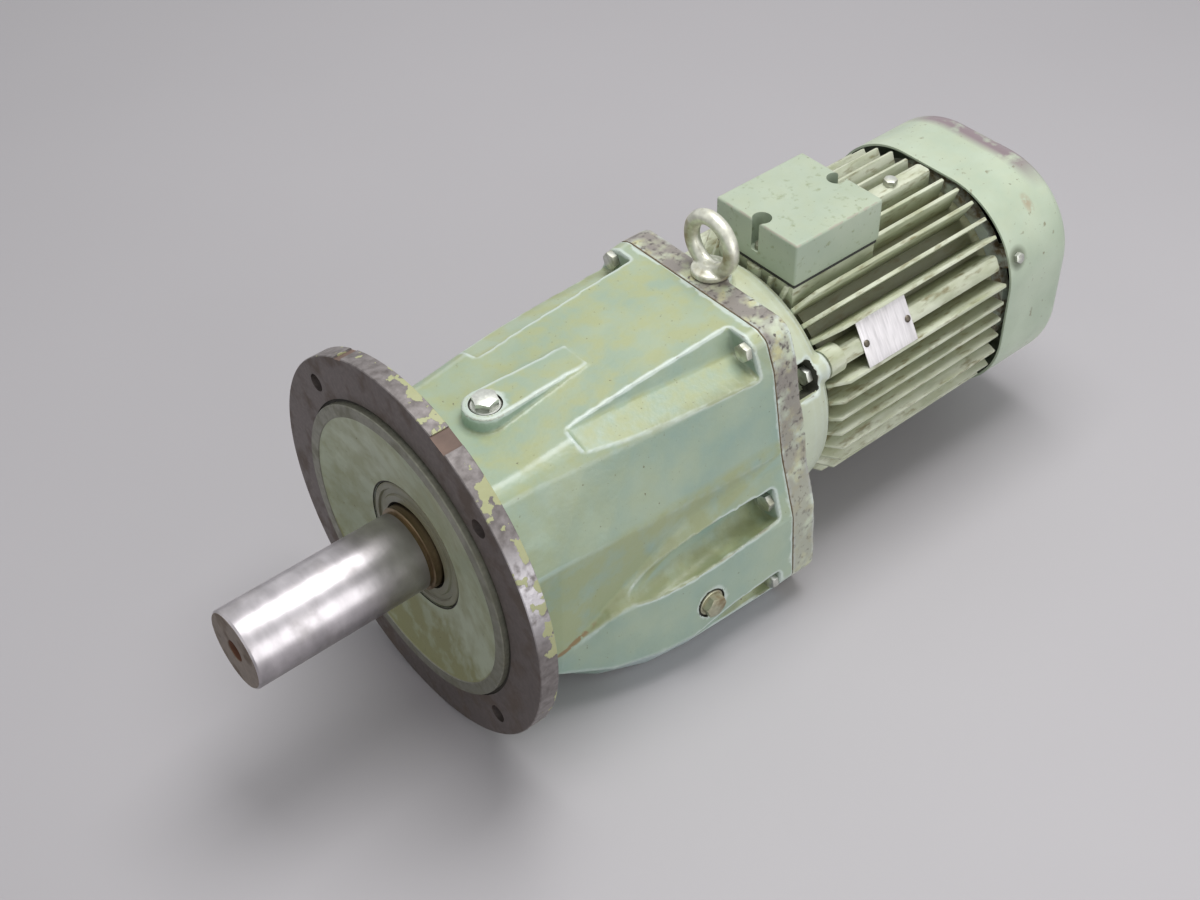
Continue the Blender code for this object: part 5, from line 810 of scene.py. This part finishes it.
def all_screws():
    spins = (12, 40, 22, 5, 33, 50)
    places = [along_x("housing_bolt_%d" % (k + 1), 0.0055, spins[k]) for k in range(6)]
    set_screws(hex_screw(0.013, 0.0055, 0.008, 0.030), places)
    places = [along_x("motor_bolt_%d" % (k + 1), 0.0055, spins[k + 2]) for k in range(3)]
    set_screws(hex_screw(0.013, 0.0055, 0.008, 0.032), places)
    plug = hex_screw(0.017, 0.008, 0.016, 0.012)
    collar = turned("collar", (
        (-0.0016, 0.0), (-0.0016, 0.0104), (-0.0011, 0.0110), (0.0, 0.0110), (0.0, 0.0),
    ), height=0.0, steps=48)
    combine(plug, collar, "UNION")
    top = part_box("filler_plug")[1][2] - 0.008
    near_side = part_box("level_plug")[0][1] + 0.008
    far_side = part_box("drain_plug")[1][1] - 0.008
    places = [
        ("filler_plug", (at(FILLER), 0.0, top), (0, 0, -1), 20),
        ("level_plug", (middle_of("level_plug"), near_side, LEVEL_Z), (0, 1, 0), 10),
        ("drain_plug", (middle_of("drain_plug"), far_side, DRAIN_Z), (0, -1, 0), 30),
    ]
    set_screws(copied(plug, "bright_plug", Matrix()), places[:1])
    set_screws(plug, places[1:], PLUG)
    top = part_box("earth_screw")[1][2] - 0.005
    places = [("earth_screw", (middle_of("earth_screw"), 0.0, top), (0, 0, -1), 15)]
    set_screws(hex_screw(0.010, 0.005, 0.006, 0.009), places)
    set_screws(hex_screw(0.008, 0.0035, 0.005, 0.010), cover_screw_places())


# Motor adapter and lifting eye

PLATE_FRONT = 0.2656
PLATE_BACK = 0.2881
DOME_BACK = 0.3267
FRAME_FRONT = 0.3270
FRAME_BACK = 0.5270
MOTOR_BOLTS = (31, 149, 270)
BOLT_CIRCLE = 0.0905


def slot_in_dome(degrees, radius, low, high):
    """Round-ended slot that opens outwards, for the head of a motor bolt."""
    outline = arc(BOLT_CIRCLE, 0.0, radius, math.pi / 2, 12)
    outline += [(0.125, -radius * 1.25), (0.125, radius * 1.25)]
    a = math.radians(degrees)
    outline = [(r * math.cos(a) - s * math.sin(a), r * math.sin(a) + s * math.cos(a)) for r, s in outline]
    return lofted("bolt_slot", [ring_at(x, outline, MOTOR) for x in (low, high)])


def motor_adapter():
    joint = rounded(mirrored(JOINT), 0.006)
    plate = lofted("adapter_casting", [ring_at(s, joint) for s in (PLATE_FRONT - 0.004, PLATE_BACK)])
    dome = turned("dome", (
        (at(0.280), 0.0), (at(0.280), 0.103), (at(PLATE_BACK + 0.013), 0.1025),
        (at(PLATE_BACK + 0.022), 0.1008), (at(PLATE_BACK + 0.030), 0.0978), (at(DOME_BACK), 0.090),
        (at(DOME_BACK), 0.0),
    ), height=MOTOR)
    combine(plate, dome, "UNION")
    combine(plate, post("eye_boss", at(EYEBOLT), 0.0, AXIS + 0.080, AXIS + 0.0985, 0.0158), "UNION")
    for degrees in MOTOR_BOLTS:
        combine(plate, rod("lug", at(0.305), at(DOME_BACK), 0.012, *polar(BOLT_CIRCLE, degrees)), "UNION")
        combine(plate, slot_in_dome(degrees, 0.0126, PLATE_BACK + 0.001, 0.3117))
    soften(plate, 0.0018, 2)
    faced(plate, at(PLATE_FRONT), -1)
    _, _, seal = seat_of("motor_oil_seal")
    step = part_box("motor_oil_seal")[1][0] + 0.002
    start, _, race = seat_of("rotor_front_bearing_outer")
    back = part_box("rotor_front_bearing_outer")[1][0] + 0.002
    front = at(PLATE_FRONT) - 0.003
    combine(plate, turned("adapter_bore", (
        (front, 0.0), (front, seal), (step, seal), (step, 0.0195), (start, 0.0195), (start, race),
        (back, race), (back, 0.0647), (at(0.345), 0.0647), (at(0.345), 0.0),
    ), height=MOTOR, steps=64))
    _, end, seat = seat_of("lay_rear_bearing_outer")
    combine(plate, rod("lay_seat", front, end, seat, z=0.068))
    tools = joint_holes(front, front, at(PLATE_BACK) - 0.003, at(0.2748))
    tools += [rod("hole", at(0.3107), at(0.329), BOLT_HOLE, *polar(BOLT_CIRCLE, d)) for d in MOTOR_BOLTS]
    tools.append(post("thread", at(EYEBOLT), 0.0, AXIS + 0.0824, AXIS + 0.1, 0.0063))
    combine(plate, together(tools))
    pockets = [polar(0.0925, degrees) for degrees in MOTOR_BOLTS]

    def choose(centre, normal):
        hidden = at(PLATE_BACK + 0.002) < centre.x < at(0.3125) and normal.x < 0.8
        inside = any(math.hypot(centre.y - y, centre.z - z) < 0.0135 for y, z in pockets)
        # Painted shade: faces inside the bolt pockets behind the plate are darkened.
        return 1 if hidden and inside else 0

    finish(plate, "motor_adapter", (PLATE, GRIME_AND_SHADE), choose)


def lifting_eye():
    seat = AXIS + 0.0993
    deselect()
    bpy.ops.mesh.primitive_torus_add(
        major_segments=96, minor_segments=32, major_radius=0.021, minor_radius=0.006,
        location=(at(EYEBOLT), 0.0, AXIS + 0.1253), rotation=(0.0, math.pi / 2, 0.0),
    )
    eye = named("forged_eye")
    collar = turned("collar", (
        (0.0, 0.0), (0.0, 0.0145), (0.0006, 0.015), (0.0044, 0.015), (0.0052, 0.0142), (0.0068, 0.0088),
        (0.0095, 0.0062), (0.0095, 0.0),
    ), height=0.0, steps=64)
    collar.data.transform(facing((0, 0, 1), (at(EYEBOLT), 0.0, seat)))
    combine(eye, collar, "UNION")
    soften(eye, 0.0009, 3)
    combine(eye, post("thread", at(EYEBOLT), 0.0, seat - 0.016, seat + 0.003, 0.006), "UNION")
    finish(eye, "lifting_eyebolt", (EYE,))


# Motor frame

RIBS = (31, 90, 149, 270)
FINS = ((31, 90, 5), (90, 149, 5), (149, 270, 11), (270, 391, 11))
BOX_PAD = AXIS + 0.0833
RIB_TOP = 0.10047
FIN_ROOT = 0.0770
RIVETS = (-0.0225, 0.0225)


def square_reach(half, corner, angle):
    """Distance from the centre of a rounded square to its edge."""
    offset = half - corner
    a, b = abs(math.cos(angle)), abs(math.sin(angle))
    flat = half / max(a, b)
    if flat * min(a, b) <= offset:
        return flat
    return offset * (a + b) + math.sqrt(corner ** 2 - (offset * (a - b)) ** 2)


def fin(angle, tip, root_width, tip_width, slope):
    """A cast fin with draft, its front end sloped, at an angle round the motor axis."""
    side = ((0.0, FIN_ROOT), (0.0, 0.0905), ((tip - 0.0905) * slope, tip))
    outline = [(at(FRAME_FRONT) + x, r) for x, r in side] + [(at(0.519), tip), (at(0.519), FIN_ROOT)]
    widths = [
        root_width + (tip_width - root_width) * ((r - FIN_ROOT) / (tip - FIN_ROOT)) for _, r in outline
    ]
    rings = [[(x, sign * w / 2, r) for (x, r), w in zip(outline, widths)] for sign in (-1, 1)]
    made = round_edges(lofted("fin", rings), tip_width * 0.24)
    made.data.transform(round_axis(angle - math.pi / 2, MOTOR))
    return made


def stator_frame():
    body = turned("finned_frame", (
        (at(0.337), 0.070), (at(0.337), 0.0795), (at(FRAME_BACK), 0.0795), (at(FRAME_BACK), 0.070),
    ), height=MOTOR)
    fins = []
    for first, last, count in FINS:
        span = last - first - 23.0
        for k in range(count):
            angle = math.radians(first + 11.5 + span * k / (count - 1))
            slope = 0.03 if 66 < math.degrees(angle) < 114 else 26 / 22
            fins.append(fin(angle, square_reach(0.0970, 0.0720, angle), 0.0042, 0.0032, slope))
    fins += [fin(math.radians(angle), RIB_TOP, 0.0150, 0.0146, 0.03) for angle in RIBS]
    combine(body, together(fins), "UNION")
    pad = block("terminal_pad", (at(0.331), -0.040, MOTOR + 0.054), (at(0.418), 0.040, BOX_PAD))
    combine(body, pad, "UNION")
    for degrees in MOTOR_BOLTS:
        lug = rod("lug", at(FRAME_FRONT), at(0.342), 0.012, *polar(BOLT_CIRCLE, degrees), 48)
        combine(body, lug, "UNION")
    combine(body, rod("bore", at(0.32), at(0.54), 0.074, z=MOTOR, sides=96))
    combine(body, block("facing", (at(0.324), -BOX_HALF, BOX_PAD), (at(0.423), BOX_HALF, MOTOR + 0.2)))
    tools = [rod("hole", at(0.326), at(0.3446), BOLT_HOLE, *polar(BOLT_CIRCLE, d)) for d in MOTOR_BOLTS]
    ends = (at(0.3355), at(0.4135))
    tools += [post("hole", x, 0.0, BOX_PAD - 0.008, BOX_PAD + 0.002, 0.0028) for x in ends]
    tools.append(post("hole", at(0.478), 0.0, MOTOR + 0.0907, MOTOR + 0.103, 0.0033))
    tools.append(block("leads", (at(0.357), -0.026, MOTOR + 0.054), (at(0.389), -0.016, BOX_PAD + 0.002)))
    for offset in RIVETS:
        hole = post("hole", 0.0, 0.0, -0.005, 0.002, 0.0018)
        hole.data.transform(on_rib(offset))
        tools.append(hole)
    combine(body, together(tools))
    finish(body, "stator_frame", (FRAME,))


def on_rib(offset):
    """Matrix to the wide rib of the nameplate, with +Z outwards."""
    outwards = Matrix.Translation((at(0.388) + offset, 0.0, RIB_TOP))
    return round_axis(math.radians(59), MOTOR) @ outwards


def nameplate():
    deselect()
    bpy.ops.mesh.primitive_cube_add(size=1.0, location=(0, 0, 0.0007), scale=(0.053, 0.037, 0.0008))
    plate = edited(named("bare_nameplate"), bpy.ops.mesh.subdivide, number_cuts=5)
    round_edges(plate, 0.0003)
    for x in RIVETS:
        combine(plate, post("hole", x, 0.0, -0.002, 0.004, 0.0018), solver="EXACT")
    plate.data.transform(on_rib(0.0))
    finish(plate, "nameplate", (LABEL,))
    rivet = turned("rivet", (
        (-0.0014, 0.0), (-0.0013, 0.0012), (-0.0009, 0.0022), (0.0, 0.0029), (0.0, 0.0015),
        (0.005, 0.0015), (0.005, 0.0),
    ), height=0.0, steps=32)
    down = Matrix.Translation((0, 0, 0.0014)) @ Matrix.Rotation(math.pi / 2, 4, "Y")
    for number, offset in enumerate(RIVETS, 1):
        made = copied(rivet, "rivet_%d" % number, on_rib(offset) @ down)
        finish(made, "nameplate_rivet_%d" % number, (RIVET,))
    bpy.data.objects.remove(rivet)


# Fan cover

COVER_FRONT = 0.522
COVER_END = 0.600
COVER_WALL = 0.0018


def cover_ring(x, inset):
    angles = [2 * math.pi * k / 144 for k in range(144)]
    reaches = [square_reach(0.0990 - inset, 0.0740 - inset, angle) for angle in angles]
    return [(x, r * math.cos(a), MOTOR + r * math.sin(a)) for r, a in zip(reaches, angles)]


def cover_skin(inset, front, back):
    """Rings of the cover's outside or inside, from its open front to the middle of its back."""
    edge = 0.017 - inset
    stations = [front + (back - edge - front) * k / 24 for k in range(25)]
    rings = [cover_ring(at(s), inset) for s in stations]
    for k in range(1, 11):
        t = math.pi / 2 * k / 10
        rings.append(cover_ring(at(back - edge + edge * math.sin(t)), inset + edge * (1 - math.cos(t))))
    back = rings[-1]
    rings += [[(x, y * s, MOTOR + (z - MOTOR) * s) for x, y, z in back] for s in (0.6, 0.3, 0.02)]
    return rings


def cover_screw_places():
    """Seats of the three cover screws, with their directions."""
    places = []
    facet = math.pi / 12
    for number, (side, up, angle, reach) in enumerate((
        (1, 1, 1.5 * facet, 0.074 * math.cos(facet / 2)),
        (-1, 1, math.pi - 1.5 * facet, 0.074 * math.cos(facet / 2)),
        (0, -1, -math.pi / 2, 0.074),
    ), 1):
        out = Vector((0.0, math.cos(angle), math.sin(angle)))
        origin = Vector((at(0.532), side * 0.025, MOTOR + up * 0.025)) + out * (reach + CLEARANCE)
        places.append(("fan_cover_screw_%d" % number, origin, -out, 10 * number))
    return places


def fan_cover():
    outer = cover_skin(0.0, COVER_FRONT, COVER_END)
    inner = cover_skin(COVER_WALL, COVER_FRONT, COVER_END - COVER_WALL)
    cover = lofted("pressed_fan_cover", outer + inner[::-1] + outer[:1])
    for _, seat, inward, _ in cover_screw_places():
        for vertex in cover.data.vertices:
            apart = vertex.co - seat
            across = (apart - inward * apart.dot(inward)).length
            if across < 0.03 and apart.length < 0.05:
                vertex.co += inward * 0.0008 * math.exp(-(across / 0.009) ** 2)
    slots = []
    for inside, outside, count in ((0.024, 0.044, 8), (0.050, 0.074, 16)):
        for k in range(count):
            bar = block("slot", (at(0.590), -0.0035, inside), (at(0.602), 0.0035, outside))
            round_edges(bar, 0.0030, 4)
            bar.data.transform(round_axis(2 * math.pi * (k + 0.5) / count - math.pi / 2, MOTOR))
            slots.append(bar)
    combine(cover, together(slots), solver="EXACT")
    tools = []
    for _, seat, inward, _ in cover_screw_places():
        hole = rod("hole", -0.006, 0.006, 0.0028, 0.0, 0.0, 24)
        hole.data.transform(facing(inward, seat))
        tools.append(hole)
    combine(cover, together(tools), solver="EXACT")
    finish(cover, "fan_cover", (SHEET,))


# Terminal box

def terminal_box():
    low, top = AXIS + 0.0865, BOX_TOP
    front, back = at(BOX_FRONT), at(BOX_BACK)
    box = block("cast_box_lid", (front, -BOX_HALF, low), (back, BOX_HALF, top))
    round_edges(box, 0.0022, 4)
    ends = (front + 0.0065, back - 0.0065)
    inside = block("inside", (front + 0.003, -0.040, low - 0.002), (back - 0.003, 0.040, top - 0.003))
    for x in ends:
        combine(inside, post("boss", x, 0.0, low - 0.01, top + 0.001, 0.0105, 48))
    combine(box, inside)
    for x in ends:
        combine(box, post("well", x, 0.0, low + 0.010, top + 0.002, 0.0075, 48))
        combine(box, post("hole", x, 0.0, low - 0.002, low + 0.012, 0.0028, 24))
    middle = (front + back) / 2
    entry = rod("entry", -0.002, 0.006, 0.0103, 0.0, 0.0, 48)
    entry.data.transform(facing((0, -1, 0), (middle, BOX_HALF, (low + top) / 2)))
    combine(box, entry)
    finish(box, "terminal_box_lid", (BOX,))
    screw = turned("lid_screw", (
        (-0.004, 0.0), (-0.004, 0.0038), (-0.0034, 0.0044), (0.0, 0.0045), (0.0, 0.0025),
        (0.0188, 0.0025), (0.0192, 0.0),
    ), height=0.0, steps=32)
    combine(screw, block("slot", (-0.0045, -0.006, -0.0006), (-0.0026, 0.006, 0.0006)))
    places = [("lid_screw_%d" % k, (x, 0.0, low + 0.0103), (0, 0, -1), 35 * k) for k, x in enumerate(ends, 1)]
    set_screws(screw, places, DULL, prefix="slotted_")
    plug = turned("blanking_plug", (
        (-0.004, 0.0), (-0.004, 0.0104), (-0.0030, 0.0118), (0.0, 0.012), (0.0, 0.010), (0.009, 0.010),
        (0.009, 0.0),
    ), height=0.0, steps=64)
    combine(plug, block("slot", (-0.0045, -0.009, -0.0012), (-0.0022, 0.009, 0.0012)))
    seat = (middle, BOX_HALF + CLEARANCE, (low + top) / 2)
    places = [("cable_entry_plug", seat, (0, -1, 0), 20)]
    set_screws(plug, places, BLACK, "blanking_")


# Every piece that is seen, and finishes for the CAD solids inside

gear_housing()
output_seal()
output_shaft()
motor_adapter()
lifting_eye()
stator_frame()
nameplate()
fan_cover()
terminal_box()
all_screws()

INSIDE = {
    "bearing": RACE, "dowel": RACE, "gear": STEEL, "pinion": STEEL, "key": STEEL, "shaft": STEEL,
    "winding": WINDING, "stator_core": CORE, "rotor_core": ROTOR, "housing_gasket": PAPER,
    "box_gasket": RUBBER, "oil_seal": RUBBER, "board": BLACK, "fan": FAN, "shield": PLATE,
}
for name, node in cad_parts.items():
    for word, material in INSIDE.items():
        if word in name and name not in ("gear_housing", "fan_cover"):
            node.data.materials.clear()
            node.data.materials.append(material)
            break

# Floor, background, light and camera

deselect()
bpy.ops.mesh.primitive_plane_add(size=12.0)
floor = named("floor")
made, tree, place = new_material("pale_floor")
grey = layered(tree, colour("#aeabae"), [("#b6b3b6", patches(tree, place, 0.9, 0.2, 0.8))])
floor.data.materials.append(surface(made, Base_Color=grey, Roughness=0.6))

world = bpy.data.worlds.new("studio")
world.use_nodes = True
bpy.context.scene.world = world
sky = world.node_tree
sky.nodes.clear()
shown = add(sky, "ShaderNodeLightPath", out="Is Camera Ray")
for ray in ("Is Glossy Ray", "Is Transmission Ray"):
    other = add(sky, "ShaderNodeLightPath", out=ray)
    shown = add(sky, "ShaderNodeMath", (shown, other), operation="MAXIMUM")
strength = add(sky, "ShaderNodeMapRange", (shown, 0.0, 1.0, 0.45, 1.0))
backdrop = add(sky, "ShaderNodeBackground", {"Color": colour("#f4f5f6"), "Strength": strength})
add(sky, "ShaderNodeOutputWorld", {"Surface": backdrop})


def soft_light(name, place, size, watts):
    """Square soft light that faces the middle of the machine."""
    deselect()
    bpy.ops.object.light_add(type="AREA", location=place)
    light = bpy.context.object
    light.name = name
    light.data.size = size
    light.data.energy = watts
    light.rotation_euler = (Vector((0.05, 0.0, 0.12)) - Vector(place)).to_track_quat("-Z", "Y").to_euler()


soft_light("overhead", (0.30, 0.05, 1.9), 1.1, 27)
soft_light("side", (0.1, -1.7, 0.5), 1.5, 12)

camera = bpy.data.objects.new("camera", bpy.data.cameras.new("camera"))
bpy.context.collection.objects.link(camera)
camera.data.lens = 50.146
camera.data.sensor_width = 36.0
camera.data.sensor_fit = "HORIZONTAL"
camera.data.clip_start = 0.02
right = Vector((0.767412, -0.640707, -0.023938))
upward = Vector((0.452387, 0.514638, 0.728350))
back = Vector((-0.454339, -0.569774, 0.684787))
turn = Matrix((right, upward, back)).transposed().to_4x4()
camera.matrix_world = Matrix.Translation((-0.62697, -0.71702, 0.99894)) @ turn
bpy.context.scene.camera = camera

bpy.context.scene.view_settings.view_transform = "Standard"
